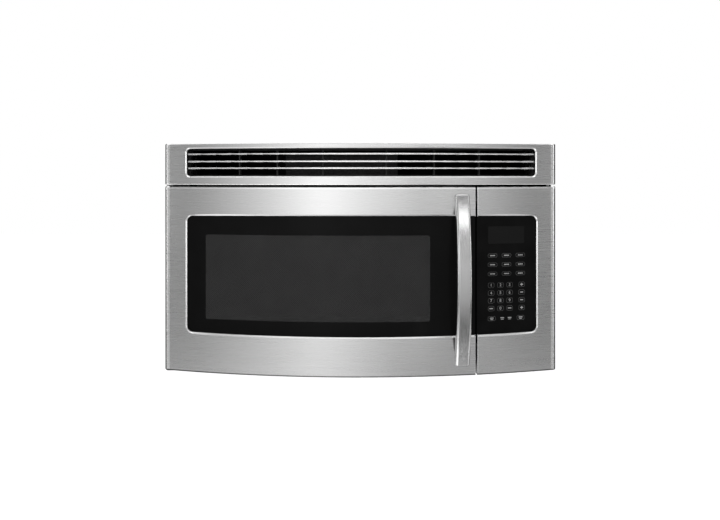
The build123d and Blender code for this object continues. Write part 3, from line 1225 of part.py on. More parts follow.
def bush_height():
    """Height of an ear and of the bush in it."""
    return PIN_LENGTH + 2 * SHEET


def hinge_bushes():
    """Nylon bushes in the door's ears."""
    height = bush_height()
    group = []
    for low in (inner_z()[0], inner_z()[1] - height):
        bush = rod((HINGE[0], HINGE[1], low), (0, 0, 1), PIN_RADIUS + BUSH_WALL, height)
        group.append(bush - hinge_hole(PIN_RADIUS + RUNNING))
    return Compound(children=group)


def choke_cover():
    """Plastic cover on the door's back, with a groove round the oven's mouth."""
    cover = along_y(rounded(inner_x(), inner_z(), CHOKE / 3), (Y_PAN, Y_DOOR))
    through = grow((Y_PAN, Y_DOOR), PAST)
    cover = cover - along_y(pane_outline(0.0), through)
    outside = rounded(grow(CAVITY_X, GROOVE_PLACE), grow(CAVITY_Z, GROOVE_PLACE), CAVITY_ROUND)
    inset = GROOVE_PLACE - GROOVE_WIDTH
    inside = rounded(grow(CAVITY_X, inset), grow(CAVITY_Z, inset), CAVITY_ROUND / 2)
    cover = cover - along_y(outside - inside, (Y_DOOR - GROOVE_DEPTH, Y_DOOR + PAST))
    for z in HOOK_Z:
        cover = cover - hook_slot(z, CLEAR, through)
    return cover


def pane_outline(gap):
    """Outline of the inner pane's opening, less a gap all round."""
    return rounded(grow(SCREEN_X, PANE_LAP - gap), grow(SCREEN_Z, PANE_LAP - gap), PANE_CORNER)


def inner_pane():
    """Clear pane that closes the screen's back, let into the choke cover."""
    return along_y(pane_outline(CLEAR), (Y_PAN, Y_PAN + PANE))


def door_handle():
    """Arched strap with a foot at each end, fitted to the door's curve."""
    low, high = HANDLE_Z
    middle = (low + high) / 2
    skin = HANDLE_SKIN
    outer = ThreePointArc((skin - HANDLE_END, low), (skin - HANDLE_REACH, middle), (skin - HANDLE_END, high))
    inside = skin - HANDLE_REACH + HANDLE_THICK
    foot_low = low + HANDLE_FOOT
    foot_high = high - HANDLE_FOOT
    start = skin - FOOT_STAND
    inner = ThreePointArc((start, foot_high), (inside, middle), (start, foot_low))
    deep = skin + FOOT_SEAT
    top = Polyline(outer @ 1, (deep, high), (deep, foot_high), inner @ 0)
    bottom = Polyline(inner @ 1, (deep, foot_low), (deep, low), outer @ 0)
    strap = along_x(make_face(outer + top + inner + bottom), about(HANDLE_X, HANDLE_WIDTH))
    upright = strap.edges().filter_by(Axis.Y).sort_by(Axis.Z)
    strap = fillet(upright[:2] + upright[-2:], FOOT_ROUND)
    strap = fillet(strap.faces().sort_by(Axis.Y)[0].edges(), HANDLE_ROUND)
    strap = strap - bow_block(grow(DOOR_X, PAST), grow(DOOR_Z, PAST), Y_DOOR)
    for z in screw_heights():
        strap = strap - rod((HANDLE_X, deep, z), (0, -1, 0), SCREW_SHANK, deep - skin + SCREW_BITE)
    return strap


def screw_heights():
    """Heights of the two handle screws."""
    return (HANDLE_Z[0] + HANDLE_FOOT / 2, HANDLE_Z[1] - HANDLE_FOOT / 2)


def handle_screws():
    """Screws from inside the door into the handle's feet."""
    seat = bow_y(HANDLE_X + SCREW_HEAD, SKIN)
    group = []
    for z in screw_heights():
        shank = rod((HANDLE_X, seat, z), (0, -1, 0), SCREW_SHANK, seat - HANDLE_SKIN + SCREW_BITE)
        head = rod((HANDLE_X, seat, z), (0, 1, 0), SCREW_HEAD, SCREW_HEAD_HEIGHT)
        group.append(shank + chamfer(head.edges().sort_by(Axis.Y)[-1:], SCREW_HEAD_HEIGHT / 3))
    return Compound(children=group)


def latch_bar():
    """Sprung bar in the door with two hooks that reach into the cabinet."""
    x = about(LATCH_X, LATCH_THICK)
    front = Y_PAN - SHEET - CLEAR
    bar = block(x, (front - LATCH_BAR, front), grow(HOOK_Z, LATCH_END))
    for z in HOOK_Z:
        low, high = about(z, HOOK_HEIGHT)
        nose = HOOK_TIP - HOOK_NOSE
        outline = Polyline(
            (front - PAST, low), (nose, low), (nose + HOOK_SLOPE, low - HOOK_DROP),
            (HOOK_TIP - HOOK_NOSE / 3, low - HOOK_DROP), (HOOK_TIP, low + HOOK_HEIGHT / 4),
            (HOOK_TIP, high - HOOK_HEIGHT / 4), (HOOK_TIP - HOOK_HEIGHT / 2, high),
            (front - PAST, high), (front - PAST, low),
        )
        bar = bar + along_x(make_face(outline), x)
    return bar


def latch_spring():
    """Spring that holds the latch bar down, between its top and a lug on the pan."""
    start = (LATCH_X, Y_PAN - SHEET - CLEAR - LATCH_BAR / 2, HOOK_Z[1] + LATCH_END)
    return rod(start, (0, 0, 1), SPRING_RADIUS, SPRING_LENGTH)


def spring_lug():
    """Bent lug that the latch spring pushes against, fixed to the pan's back sheet."""
    width, thick, height = LUG
    low = HOOK_Z[1] + LATCH_END + SPRING_LENGTH
    y = (Y_PAN - SHEET - CLEAR - LATCH_BAR, Y_PAN - SHEET)
    shelf = block(about(LATCH_X, width), y, (low, low + thick))
    return shelf + block(about(LATCH_X, width), (y[1] - thick, y[1]), (low, low + height))


def hinge_bracket(z_plate, up):
    """Hinge plate with its pin, and a foot against the front frame; up is 1 or -1."""
    plate_x = (DOOR_X[0] + CASE_INSET, HINGE[0] + FOOT_LEFT + HINGE_HOLD)
    plate = block(plate_x, (HINGE[1] - PIN_RADIUS - HINGE_NOSE, Y_FRONT), z_plate)
    plate = fillet(plate.edges().filter_by(Axis.Z).sort_by(Axis.Y)[:2], HINGE_NOSE)
    middle = sum(z_plate) / 2
    foot_z = sorted((middle, middle + up * HINGE_HOLD))
    foot = block((HINGE[0] + FOOT_LEFT, plate_x[1]), (Y_FRONT - HINGE_PLATE, Y_FRONT), foot_z)
    return plate + foot + rod((HINGE[0], HINGE[1], middle), (0, 0, up), PIN_RADIUS, PIN_LENGTH)


def hinge_brackets():
    """Lower bracket under the door, and upper one in the gap between door and grille."""
    upper_z = about(DOOR_Z[1] + GRILLE_GAP / 2, HINGE_PLATE)
    return Compound(children=[hinge_bracket((0, HINGE_PLATE), 1), hinge_bracket(upper_z, -1)])


# ---- vent grille -----------------------------------------------------------
def vent_grille():
    """Bowed steel face over the air outlet."""
    return front_shell(GRILLE_Z, Y_FRONT, vent_outline)


def louvre_bars():
    """Level steel bars that follow the bow and rest behind the grille's rim."""
    x = grow(VENT_X, RIM_WIDTH - BAR_SHORT)
    bars = []
    for height in BAR_HEIGHTS:
        z = about(VENT_Z[0] + height, BAR_THICK)
        bar = bow_band(x, z, (RIM_DEPTH, RIM_DEPTH + BAR_DEPTH))
        arcs = [e for e in bar.edges() if e.geom_type == GeomType.CIRCLE]
        front = sorted(arcs, key=lambda e: (e @ 0.5).Y)[:2]
        bars.append(fillet(front, BAR_THICK * BAR_ROUND))
    return Compound(children=bars)


def louvre_frame():
    """Plastic frame behind the bars, with upright ribs that hold them apart."""
    insets = (RIM_DEPTH + BAR_DEPTH, RIM_DEPTH + BAR_DEPTH + RIB_DEPTH)
    outer_z = grow(VENT_Z, RIM_WIDTH)
    frame = bow_band(grow(VENT_X, RIM_WIDTH), outer_z, insets)
    frame = frame - along_y(rounded(grow(VENT_X, -SHEET), grow(VENT_Z, -SHEET), RIB_THICK), FRONT_REACH)
    for place in RIB_PLACES:
        frame = frame + bow_band(about(VENT_X[0] + place, RIB_THICK), outer_z, insets)
    return frame


# ---- wall plate ------------------------------------------------------------
def wall_plate():
    """Wall plate: a shallow pan with screw holes and two hooks that carry the cabinet."""
    x = about(0, 2 * (CASE_X - PLATE_INSET))
    pan = block(x, (Y_BACK, 0), (0, PLATE_HEIGHT))
    pan = pan - block(grow(x, -PLATE), (Y_BACK - PAST, -PLATE), (PLATE, PLATE_HEIGHT - PLATE))
    low = PLATE + CLEAR
    hook_y = (INNER_BACK - CLEAR - PLATE, INNER_BACK - CLEAR)
    for side in (-1, 1):
        tab_x = about(side * TAB_PLACE, TAB_WIDTH)
        pan = pan + block(tab_x, (hook_y[0], -PLATE), (low, low + PLATE))
        pan = pan + block(tab_x, hook_y, (low, low + TAB_HOOK))
        for z in (SCREW_INSET, PLATE_HEIGHT - SCREW_INSET):
            start = (side * STUD_SPACING / 2, PAST, z)
            pan = pan - rod(start, (0, -1, 0), WALL_HOLE, PLATE + 2 * PAST)
    return pan


# ---- assembly --------------------------------------------------------------
PIECES = {
    "outer_case": outer_case,
    "back_panel": back_panel,
    "base_plate": base_plate,
    "front_frame": front_frame,
    "oven_cavity": oven_cavity,
    "waveguide_cover": waveguide_cover,
    "waveguide": waveguide,
    "magnetron": magnetron,
    "cavity_lamp": cavity_lamp,
    "turntable_motor": turntable_motor,
    "drive_coupler": drive_coupler,
    "roller_ring": roller_ring,
    "glass_tray": glass_tray,
    "blower_deck": blower_deck,
    "blower_motor": blower_motor,
    "blower_shaft": blower_shaft,
    "blower_housings": lambda: pair(blower_housing),
    "blower_wheels": lambda: pair(blower_wheel),
    "damper_housing": damper_housing,
    "damper_flap": damper_flap,
    "charcoal_filter": charcoal_filter,
    "grease_filter_left": lambda: grease_filter(-1),
    "grease_filter_right": lambda: grease_filter(1),
    "lamp_lenses": lambda: pair(lamp_lens),
    "lamp_housings": lambda: pair(lamp_housing),
    "cooktop_lamps": lambda: pair(cooktop_lamp),
    "fan_frame": fan_frame,
    "fan_motor": fan_motor,
    "fan_rotor": fan_rotor,
    "hv_transformer": hv_transformer,
    "hv_capacitor": hv_capacitor,
    "interlock_bracket": interlock_bracket,
    "interlock_switches": interlock_switches,
    "cord_inlet": cord_inlet,
    "filter_board": filter_board,
    "control_bezel": control_bezel,
    "keypad_overlay": keypad_overlay,
    "display_window": display_window,
    "key_pads": key_pads,
    "control_chassis": control_chassis,
    "control_board": control_board,
    "door_skin": door_skin,
    "door_glass": door_glass,
    "door_screen": door_screen,
    "door_pan": door_pan,
    "hinge_bushes": hinge_bushes,
    "choke_cover": choke_cover,
    "inner_pane": inner_pane,
    "door_handle": door_handle,
    "handle_screws": handle_screws,
    "latch_bar": latch_bar,
    "latch_spring": latch_spring,
    "hinge_brackets": hinge_brackets,
    "vent_grille": vent_grille,
    "louvre_bars": louvre_bars,
    "louvre_frame": louvre_frame,
    "wall_plate": wall_plate,
}

os.makedirs("parts", exist_ok=True)
for node, make in PIECES.items():
    export_step(make(), f"parts/{node}.step")
for number, angle in enumerate(wheel_places(), start=1):
    export_step(roller_wheel(angle), f"parts/roller_wheel_{number}.step")
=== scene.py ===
"""Looks of an over-the-range microwave oven: bowed steel front, black glass, keypad and louvres.

Metres, X across the front, +Y to the wall, +Z up, origin at the wall plate's lower edge.
"""
import math

import bpy
import numpy as np
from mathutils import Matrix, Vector


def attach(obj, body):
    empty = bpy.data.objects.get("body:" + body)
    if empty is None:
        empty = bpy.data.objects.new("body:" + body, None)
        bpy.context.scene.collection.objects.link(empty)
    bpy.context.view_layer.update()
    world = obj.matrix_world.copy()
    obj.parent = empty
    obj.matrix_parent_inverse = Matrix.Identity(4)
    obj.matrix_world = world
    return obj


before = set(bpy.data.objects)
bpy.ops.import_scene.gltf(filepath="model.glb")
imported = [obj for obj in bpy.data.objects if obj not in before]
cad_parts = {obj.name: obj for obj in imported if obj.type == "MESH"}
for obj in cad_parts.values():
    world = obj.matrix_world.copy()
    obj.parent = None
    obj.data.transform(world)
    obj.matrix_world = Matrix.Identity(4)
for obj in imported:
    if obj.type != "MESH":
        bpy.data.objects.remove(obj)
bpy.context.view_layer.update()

# ---- sizes of the front, as in the CAD -------------------------------------------------
BOW_RADIUS = 1.820253
BOW_CENTRE = 1.408253
PANEL_LEFT = 0.2207
WINDOW_TOP = 0.3022
SCREEN_X = (-0.296, 0.131)
SCREEN_Z = (0.1045, 0.266)
SCREEN_CORNER = 0.0045
SHEET_INSET = 0.004              # black keypad sheet behind the skin's face
KEY_RISE = 0.0003
CASE_SIDE = 0.3775
GRILLE_TOP = 0.44
FRAME_FRONT = -0.335
CASE_BACK = -0.010

# ---- painted light and shade: where the front's steel and the sheets behind it change tone ---
# tone of the painted shade
SHADE_BLACK = 0.003
BEVEL_SHADE_DEPTH = (0.0021, 0.0024)   # depth behind the bow where the bevels' painted shade begins
BEVEL_X = 0.345                  # that painted shade ends at this distance from the middle
BEVEL_Z = [(0.060, 0.330), (0.374, 0.4335)]    # heights of the window and of the vent
HIGHLIGHT_TONE = 0.92                # tone of the painted highlight lines
END_HIGHLIGHT = (0.3687, 0.3745)      # painted highlight along the upright ends; a painted dark reflection lies outside it
END_DARK_REFLECTION = 0.17
END_FRONT = (0.3680, 0.50)       # depth of the painted dark reflection
DOOR_SHADE_ABOVE = 0.3568              # painted shade: door and control panel are black above this height
DOOR_HIGHLIGHT = (0.3536, 0.3554)     # painted highlight line under that
DOOR_HIGHLIGHT_TONE = 0.85
DOOR_FOOT_SHADE = (0.0052, 0.0045)     # painted shade: their lower edge turns darker between these heights
DOOR_FOOT_SHADE_TONE = 0.12
GRILLE_HIGHLIGHT = 0.3627             # painted highlight line up to this height along the grille's lower edge
FRAME_SHADE_ABOVE = 0.356              # painted shade: front frame behind the gap is black above this height
BACK_SHADE_DEPTHS = (-0.0104, -0.0106)  # painted shade: back panel turns dark on its inside between these depths
DOT_PITCH = 0.0040               # dots printed on the door glass
HOLE_PITCH = 0.0030              # holes in the screen behind it

# ---- printing on the keys, from the panel's left end and down from the window's top --------
MODE_KEYS = [(0.0308 + 0.02775 * column, 0.0757 + 0.0174 * row)
             for row in range(3) for column in range(3)]
DIGIT_COLUMNS = (0.0281, 0.0465, 0.0647, 0.0890)
DIGIT_ROWS = [0.1321 + 0.0148 * row for row in range(4)]
FOOT_ROW = 0.1956
FOOT_COLUMNS = (0.0293, 0.0500, 0.0647, 0.0868)
MODE_RING = (0.0185, 0.0074, 0.0032, 0.00045)    # width, height, corner and line
DIGIT_RING = (0.0122, 0.0094, 0.0030, 0.00040)
FOOT_RING = (0.0150, 0.0084, 0.0026, 0.00045)
MODE_DASHES = ((0.0038, 0.0052), (0.0056, 0.0036), (0.0030, 0.0030, 0.0024))    # by column
MODE_DASH_HEIGHT = 0.0019
DASH_GAP = 0.0005
FOOT_DASHES = ((-0.0010, 0.0072, 0.0016), (0.0018, 0.0052, 0.0012))    # place, width, height
SIDE_DASH = (0.0058, 0.0018)
SIDE_UPRIGHT = 0.0016            # width of the dash across it
SIDE_HEIGHTS = (0.0050, 0.0018, 0.0018, 0.0050)    # by row
WORD_DASH = (0.0070, 0.0018)
FIGURES = ("1", "2", "3", "4", "5", "6", "7", "8", "9", "", "0", "")
FIGURE_SIZE = 0.0078
PRINT_LIFT = 0.00006             # printing in front of the keys


def bow_y(x, inset=0.0):
    """Depth of the front's arc at x: the arc's centre less the height of the circle above x."""
    return BOW_CENTRE - np.sqrt((BOW_RADIUS - inset) ** 2 - np.asarray(x) ** 2)


# ---- materials --------------------------------------------------------------------------
SOCKETS = {"metal": "Metallic", "rough": "Roughness", "ior": "IOR",
           "specular": "Specular IOR Level", "coat": "Coat Weight", "coat_rough": "Coat Roughness",
           "sheen": "Sheen Weight", "anisotropic": "Anisotropic", "turn": "Anisotropic Rotation",
           "clear": "Transmission Weight", "alpha": "Alpha"}


class Finish:
    """A procedural material: one shader, fed by patterns on the piece's own coordinates."""

    def __init__(self, name, colour, **values):
        self.material = bpy.data.materials.new(name)
        self.material.use_nodes = True
        self.tree = self.material.node_tree
        self.shader = self.tree.nodes["Principled BSDF"]
        self.shader.inputs["Base Color"].default_value = (*colour, 1.0)
        for key, value in values.items():
            self.shader.inputs[SOCKETS[key]].default_value = value
        self.place = self.add("ShaderNodeTexCoord").outputs["Object"]

    def add(self, kind, links=(), **settings):
        """A node with its settings; links are pairs of input and what feeds it or its value."""
        node = self.tree.nodes.new(kind)
        for key, value in settings.items():
            setattr(node, key, value)
        for socket, value in links:
            if isinstance(value, bpy.types.NodeSocket):
                self.tree.links.new(value, node.inputs[socket])
            else:
                node.inputs[socket].default_value = value
        return node

    def stretch(self, scale, turn=(0, 0, 0)):
        """The piece's coordinates, turned and scaled along each axis."""
        links = [("Vector", self.place), ("Scale", scale), ("Rotation", turn)]
        return self.add("ShaderNodeMapping", links).outputs[0]

    def noise(self, scale, stretch=(1, 1, 1), detail=3.0, rough=0.5):
        """Cloudy pattern of the given scale, per metre."""
        links = [("Vector", self.stretch(stretch)), ("Scale", scale), ("Detail", detail),
                 ("Roughness", rough)]
        return self.add("ShaderNodeTexNoise", links).outputs["Fac"]

    def cells(self, scale, feature="F1", output="Distance"):
        """Cell pattern of the given scale."""
        links = [("Vector", self.stretch((1, 1, 1))), ("Scale", scale)]
        return self.add("ShaderNodeTexVoronoi", links, feature=feature).outputs[output]

    def wave(self, scale, direction="X", turn=(0, 0, 0)):
        """Straight bands of the given scale."""
        links = [("Vector", self.stretch((1, 1, 1), turn)), ("Scale", scale)]
        return self.add("ShaderNodeTexWave", links, bands_direction=direction).outputs["Fac"]

    def calc(self, first, how, second=0.0):
        """Arithmetic on two patterns or values."""
        return self.add("ShaderNodeMath", [(0, first), (1, second)], operation=how).outputs[0]

    def weigh(self, first, share, second):
        """Sum of two patterns, the first by its share and the second by the rest."""
        return self.calc(self.calc(first, "MULTIPLY", share), "ADD",
                         self.calc(second, "MULTIPLY", round(1 - share, 3)))

    def distance(self, first, second):
        """Square root of the sum of two patterns' squares."""
        squares = self.calc(self.calc(first, "MULTIPLY", first), "ADD",
                            self.calc(second, "MULTIPLY", second))
        return self.calc(squares, "POWER", 0.5)

    def within(self, pattern, low, high):
        """1 where a pattern lies between two values, and 0 elsewhere."""
        return self.calc(self.calc(pattern, "GREATER_THAN", low), "MULTIPLY",
                         self.calc(pattern, "LESS_THAN", high))

    def spread(self, pattern, low, high, start=0.0, end=1.0):
        """The pattern's span from start to end, turned into one from low to high."""
        links = [("Value", pattern), ("From Min", start), ("From Max", end), ("To Min", low),
                 ("To Max", high)]
        return self.add("ShaderNodeMapRange", links).outputs["Result"]

    def blend(self, pattern, colours, places):
        """Colours along the pattern's values."""
        node = self.add("ShaderNodeValToRGB", [("Fac", pattern)])
        ramp = node.color_ramp
        while len(ramp.elements) < len(colours):
            ramp.elements.new(0.5)
        for element, colour, place in zip(ramp.elements, colours, places):
            element.position = place
            element.color = (*colour, 1.0)
        return node.outputs["Color"]

    def mix(self, share, inside, outside):
        """One colour where share is 1 and another where it is 0."""
        links = [(0, share), (6, outside), (7, inside)]
        return self.add("ShaderNodeMix", links, data_type="RGBA").outputs[2]

    def axis(self, name):
        """X, Y or Z of the piece's coordinates."""
        return self.add("ShaderNodeSeparateXYZ", [(0, self.place)]).outputs[name]

    def off_middle(self, name):
        """Distance from the middle along an axis."""
        return self.calc(self.axis(name), "ABSOLUTE")

    def level_share(self):
        """1 on faces that look straight up or down, and 0 on upright ones."""
        normal = self.add("ShaderNodeTexCoord").outputs["Normal"]
        upward = self.add("ShaderNodeSeparateXYZ", [(0, normal)]).outputs["Z"]
        return self.spread(self.calc(upward, "ABSOLUTE"), 0.0, 1.0, 0.5, 0.8)

    def feed(self, key, value):
        """Links a pattern to one of the shader's inputs."""
        self.tree.links.new(value, self.shader.inputs[SOCKETS.get(key, key)])
        return self

    def fed(self, key):
        """The pattern that feeds one of the shader's inputs."""
        return self.shader.inputs[SOCKETS.get(key, key)].links[0].from_socket

    def colour(self, pattern, colours, places=(0.3, 0.7)):
        """Base colour along the pattern's values."""
        return self.feed("Base Color", self.blend(pattern, colours, places))

    def roughness(self, pattern, low, high, start=0.3, end=0.7):
        """Roughness along the pattern's values."""
        return self.feed("rough", self.spread(pattern, low, high, start, end))

    def relief(self, pattern, depth, strength=1.0):
        """Bump of the given depth in metres; a second call adds to the first."""
        links = [("Height", pattern), ("Distance", depth), ("Strength", strength)]
        if self.shader.inputs["Normal"].links:
            links.append(("Normal", self.fed("Normal")))
        return self.feed("Normal", self.add("ShaderNodeBump", links).outputs[0])

    def tint(self, share, colour):
        """Turns the colour to another one where share is 1."""
        return self.feed("Base Color", self.mix(share, (*colour, 1.0), self.fed("Base Color")))

    def beyond(self, axis, inside, outside, colour):
        """Turns the colour to another one between two places along an axis."""
        return self.tint(self.spread(self.axis(axis), 0.0, 1.0, inside, outside), colour)


def grey(value, warm=0.0):
    """A neutral colour, a little warmer where asked."""
    return (value * (1 + warm), value, value * (1 - warm))


def brushed_steel(name, level, rough, stretch, along="X", anisotropic=0.55, depth=0.25,
                  contrast=1.0, **values):
    """Stainless steel with fine brush lines and faint cloudy wear; stretch is the lines' scale
    along each axis. Steel brushed along X takes turned lines on its level faces."""
    turn = 0.25 if along == "X" else 0.0
    finish = Finish(name, grey(level), metal=1.0, rough=rough, anisotropic=anisotropic,
                    turn=turn, **values)
    lines = finish.noise(1.0, stretch, 4.0, 0.65)
    if along == "X":
        level_lines = finish.noise(1.0, (stretch[0], stretch[2], stretch[1]), 4.0, 0.65)
        links = [(0, finish.level_share()), (2, lines), (3, level_lines)]
        lines = finish.add("ShaderNodeMix", links).outputs[0]
    wear = finish.weigh(lines, 0.75, finish.noise(7.0, detail=2.0))
    finish.colour(wear, [grey(level * (1 - 0.07 * contrast)), grey(level * (1 + 0.05 * contrast))])
    finish.roughness(lines, rough - 0.05 * contrast, rough + 0.06 * contrast)
    finish.relief(lines, 0.00004, depth)
    tangent = finish.add("ShaderNodeTangent", direction_type="RADIAL", axis="Z")
    return finish.feed("Tangent", tangent.outputs[0])


def bevel_shade(finish):
    """Share of painted shade, in black, in the deep part of the openings' bevels: the depth less
    the bow's depth, which is the arc's centre less the square root of its radius squared less x
    squared."""
    x, y, z = (finish.axis(name) for name in "XYZ")
    rise = finish.calc(BOW_RADIUS ** 2, "SUBTRACT", finish.calc(x, "MULTIPLY", x))
    face = finish.calc(BOW_CENTRE, "SUBTRACT", finish.calc(rise, "POWER", 0.5))
    deep = finish.spread(finish.calc(y, "SUBTRACT", face), 0.0, 1.0, *BEVEL_SHADE_DEPTH)
    inside = finish.calc(finish.off_middle("X"), "LESS_THAN", BEVEL_X)
    window, vent = (finish.within(z, low, high) for low, high in BEVEL_Z)
    openings = finish.calc(finish.calc(window, "MAXIMUM", vent), "MULTIPLY", inside)
    return finish.calc(openings, "MULTIPLY", deep)


def front_steel(name, shade_above=None):
    """Brushed steel of the bowed front, with a painted highlight and a painted dark reflection
    along its ends, and painted shade in matt black.
    """
    finish = brushed_steel(name, 0.60, 0.28, (9, 9, 1500), depth=0.07, contrast=0.45,
                           specular=0.05)
    # painted shade: matt black deep in the openings' bevels, and above a height where one is given
    black = bevel_shade(finish)
    if shade_above:
        top = finish.spread(finish.axis("Z"), 0.0, 1.0, shade_above - 0.00005,
                            shade_above + 0.00005)
        black = finish.calc(top, "MAXIMUM", black)
    finish.tint(black, grey(SHADE_BLACK))
    off_middle = finish.off_middle("X")
    # painted highlight: a light line along the front's upright ends
    finish.tint(finish.within(off_middle, *END_HIGHLIGHT), grey(HIGHLIGHT_TONE))
    # painted dark reflection: a dark line outside that one, on the rounded ends near the front
    ends = finish.calc(finish.calc(off_middle, "GREATER_THAN", END_HIGHLIGHT[1]), "MULTIPLY",
                       finish.within(finish.off_middle("Y"), *END_FRONT))
    finish.tint(ends, grey(END_DARK_REFLECTION))
    finish.feed("rough", finish.calc(finish.fed("rough"), "MAXIMUM", black))
    return finish.feed("metal", finish.calc(1.0, "SUBTRACT", black))


def door_steel():
    """Steel of the door and control panel: painted shade in black along the top edge, a painted
    highlight line under it, and painted shade darkening the lower edge.
    """
    finish = front_steel("brushed_front", DOOR_SHADE_ABOVE)
    # painted highlight: a light line under the black top edge
    finish.tint(finish.within(finish.axis("Z"), *DOOR_HIGHLIGHT), grey(DOOR_HIGHLIGHT_TONE))
    # painted shade: the lower edge darkened
    return finish.beyond("Z", *DOOR_FOOT_SHADE, grey(DOOR_FOOT_SHADE_TONE))


def grille_steel():
    """Steel of the vent grille, with a painted highlight line along its lower edge."""
    finish = front_steel("brushed_grille")
    # painted highlight: a light line along the lower edge
    low = finish.calc(finish.axis("Z"), "LESS_THAN", GRILLE_HIGHLIGHT)
    return finish.tint(low, grey(HIGHLIGHT_TONE))


def painted(name, level, rough):
    """Powder coat with its fine orange peel and a slight change of tone."""
    finish = Finish(name, grey(level), rough=rough, specular=0.45)
    peel = finish.noise(1400.0, detail=2.0)
    finish.colour(finish.noise(5.0), [grey(level * 0.9), grey(level * 1.1)], (0.35, 0.65))
    finish.roughness(peel, rough - 0.07, rough + 0.07)
    return finish.relief(peel, 0.00012, 0.5)


def zinc_sheet(name, crystal=140.0, low=0.47, high=0.56):
    """Zinc-coated sheet: flat crystals, each a little lighter or darker, with rolling lines."""
    finish = Finish(name, grey(0.52), metal=0.9, rough=0.42)
    crystals = finish.cells(crystal, output="Color")
    tone = finish.add("ShaderNodeSeparateColor", [(0, crystals)]).outputs[0]
    lines = finish.noise(1.0, (30, 900, 900))
    tones = [(level, level + 0.01, level + 0.02) for level in (low, high)]
    finish.colour(finish.weigh(tone, 0.7, lines), tones, (0.1, 0.9))
    finish.roughness(tone, 0.38, 0.46, 0.0, 1.0)
    return finish.relief(lines, 0.00004, 0.3)


def shaded_back_zinc():
    """Zinc-coated back panel, with painted shade darkening its inside."""
    return zinc_sheet("shaded_back_zinc").beyond("Y", *BACK_SHADE_DEPTHS, grey(SHADE_BLACK))


def moulded(name, level, rough=0.5, warm=0.0, specular=0.4):
    """Moulded plastic with a fine spark-eroded texture."""
    finish = Finish(name, grey(level, warm), rough=rough, specular=specular)
    texture = finish.noise(2200.0, detail=1.5)
    clouds = finish.noise(9.0, detail=2.0)
    finish.colour(clouds, [grey(level * 0.88, warm), grey(level * 1.1, warm)], (0.35, 0.65))
    finish.roughness(texture, rough - 0.08, rough + 0.08)
    return finish.relief(texture, 0.00010, 0.45)


def screen_area(finish, soft=0.0006):
    """1 inside the screen's rounded rectangle and 0 outside: the distance to a smaller box,
    set against the corner's radius."""
    past = []
    for axis, (low, high) in (("X", SCREEN_X), ("Z", SCREEN_Z)):
        off_centre = finish.calc(finish.axis(axis), "SUBTRACT", (low + high) / 2)
        half = (high - low) / 2 - SCREEN_CORNER
        beyond = finish.calc(finish.calc(off_centre, "ABSOLUTE"), "SUBTRACT", half)
        past.append(finish.calc(beyond, "MAXIMUM", 0.0))
    return finish.spread(finish.distance(*past), 1.0, 0.0, SCREEN_CORNER - soft,
                         SCREEN_CORNER + soft)


def dot_grids(finish, pitch):
    """Distance, in pitches, to the nearest dot of two square grids, the second half a pitch off
    the first: in each, the distance from the middle of the square that holds the point."""
    grids = []
    for shift in (0.0, 0.5):
        parts = []
        for axis in ("X", "Z"):
            squares = finish.calc(finish.calc(finish.axis(axis), "DIVIDE", pitch), "ADD", shift)
            parts.append(finish.calc(finish.calc(squares, "FRACT"), "SUBTRACT", 0.5))
        grids.append(finish.distance(*parts))
    return finish.calc(grids[0], "MINIMUM", grids[1])


def door_glass():
    """Tempered glass with a black printed border, and dots with clear gaps over the screen."""
    finish = Finish("black_door_glass", grey(0.006), rough=0.05, ior=1.5, specular=0.03)
    film = finish.noise(26.0)
    screen = screen_area(finish)
    gap = finish.spread(dot_grids(finish, DOT_PITCH), 0.0, 1.0, 0.22, 0.30)
    border = finish.blend(film, [grey(0.0050), grey(0.0058)], (0.35, 0.7))
    dots = finish.blend(film, [grey(0.030), grey(0.034)], (0.3, 0.7))
    finish.feed("Base Color", finish.mix(screen, dots, border))
    finish.roughness(film, 0.055, 0.075, 0.35)
    clear = finish.calc(screen, "MULTIPLY", finish.spread(gap, 0.45, 0.08))
    return finish.feed("alpha", finish.calc(1.0, "SUBTRACT", clear))


def perforated_screen():
    """Coated sheet with staggered rows of round holes, see-through near each one's middle."""
    finish = Finish("perforated_screen", grey(0.10), metal=0.3, rough=0.45)
    finish.colour(finish.noise(40.0), [grey(0.09), grey(0.13)], (0.35, 0.65))
    holes = dot_grids(finish, HOLE_PITCH)
    return finish.feed("alpha", finish.spread(holes, 0.0, 1.0, 0.22, 0.26))


def clear_glass(name, tint, rough, clear, frost=0.0, grain=60.0):
    """Glass with faint waviness, and frosting where asked."""
    finish = Finish(name, tint, rough=rough, ior=1.5, clear=clear)
    waves = finish.noise(35.0, detail=2.0)
    finish.colour(waves, [tuple(part * 0.96 for part in tint), tint])
    finish.roughness(waves, rough, rough + 0.04 + frost)
    return finish.relief(finish.noise(grain, detail=2.0), 0.0001, 0.3)


def ribbed_lens():
    """Frosted lamp cover with fine ribs along it."""
    finish = clear_glass("ribbed_lens", (0.91, 0.92, 0.90), 0.30, 0.65, 0.2, 960.0)
    ribs = finish.wave(70.0)
    # darker in the troughs between the ribs and lighter on their crests: painted shade and
    # highlight
    finish.colour(ribs, [(0.70, 0.71, 0.69), (0.95, 0.95, 0.93)], (0.15, 0.75))
    return finish.relief(ribs, 0.0012, 0.9)


def window_pane():
    """Thin clear pane: mostly see-through, with faint cloudy marks."""
    finish = Finish("clear_pane", grey(0.03), rough=0.06, ior=1.5, specular=0.5)
    marks = finish.noise(30.0, detail=4.0)
    finish.colour(marks, [grey(0.028), grey(0.036)], (0.35, 0.7))
    finish.roughness(marks, 0.05, 0.08, 0.35)
    return finish.feed("alpha", finish.spread(marks, 0.125, 0.145, 0.35, 0.7))


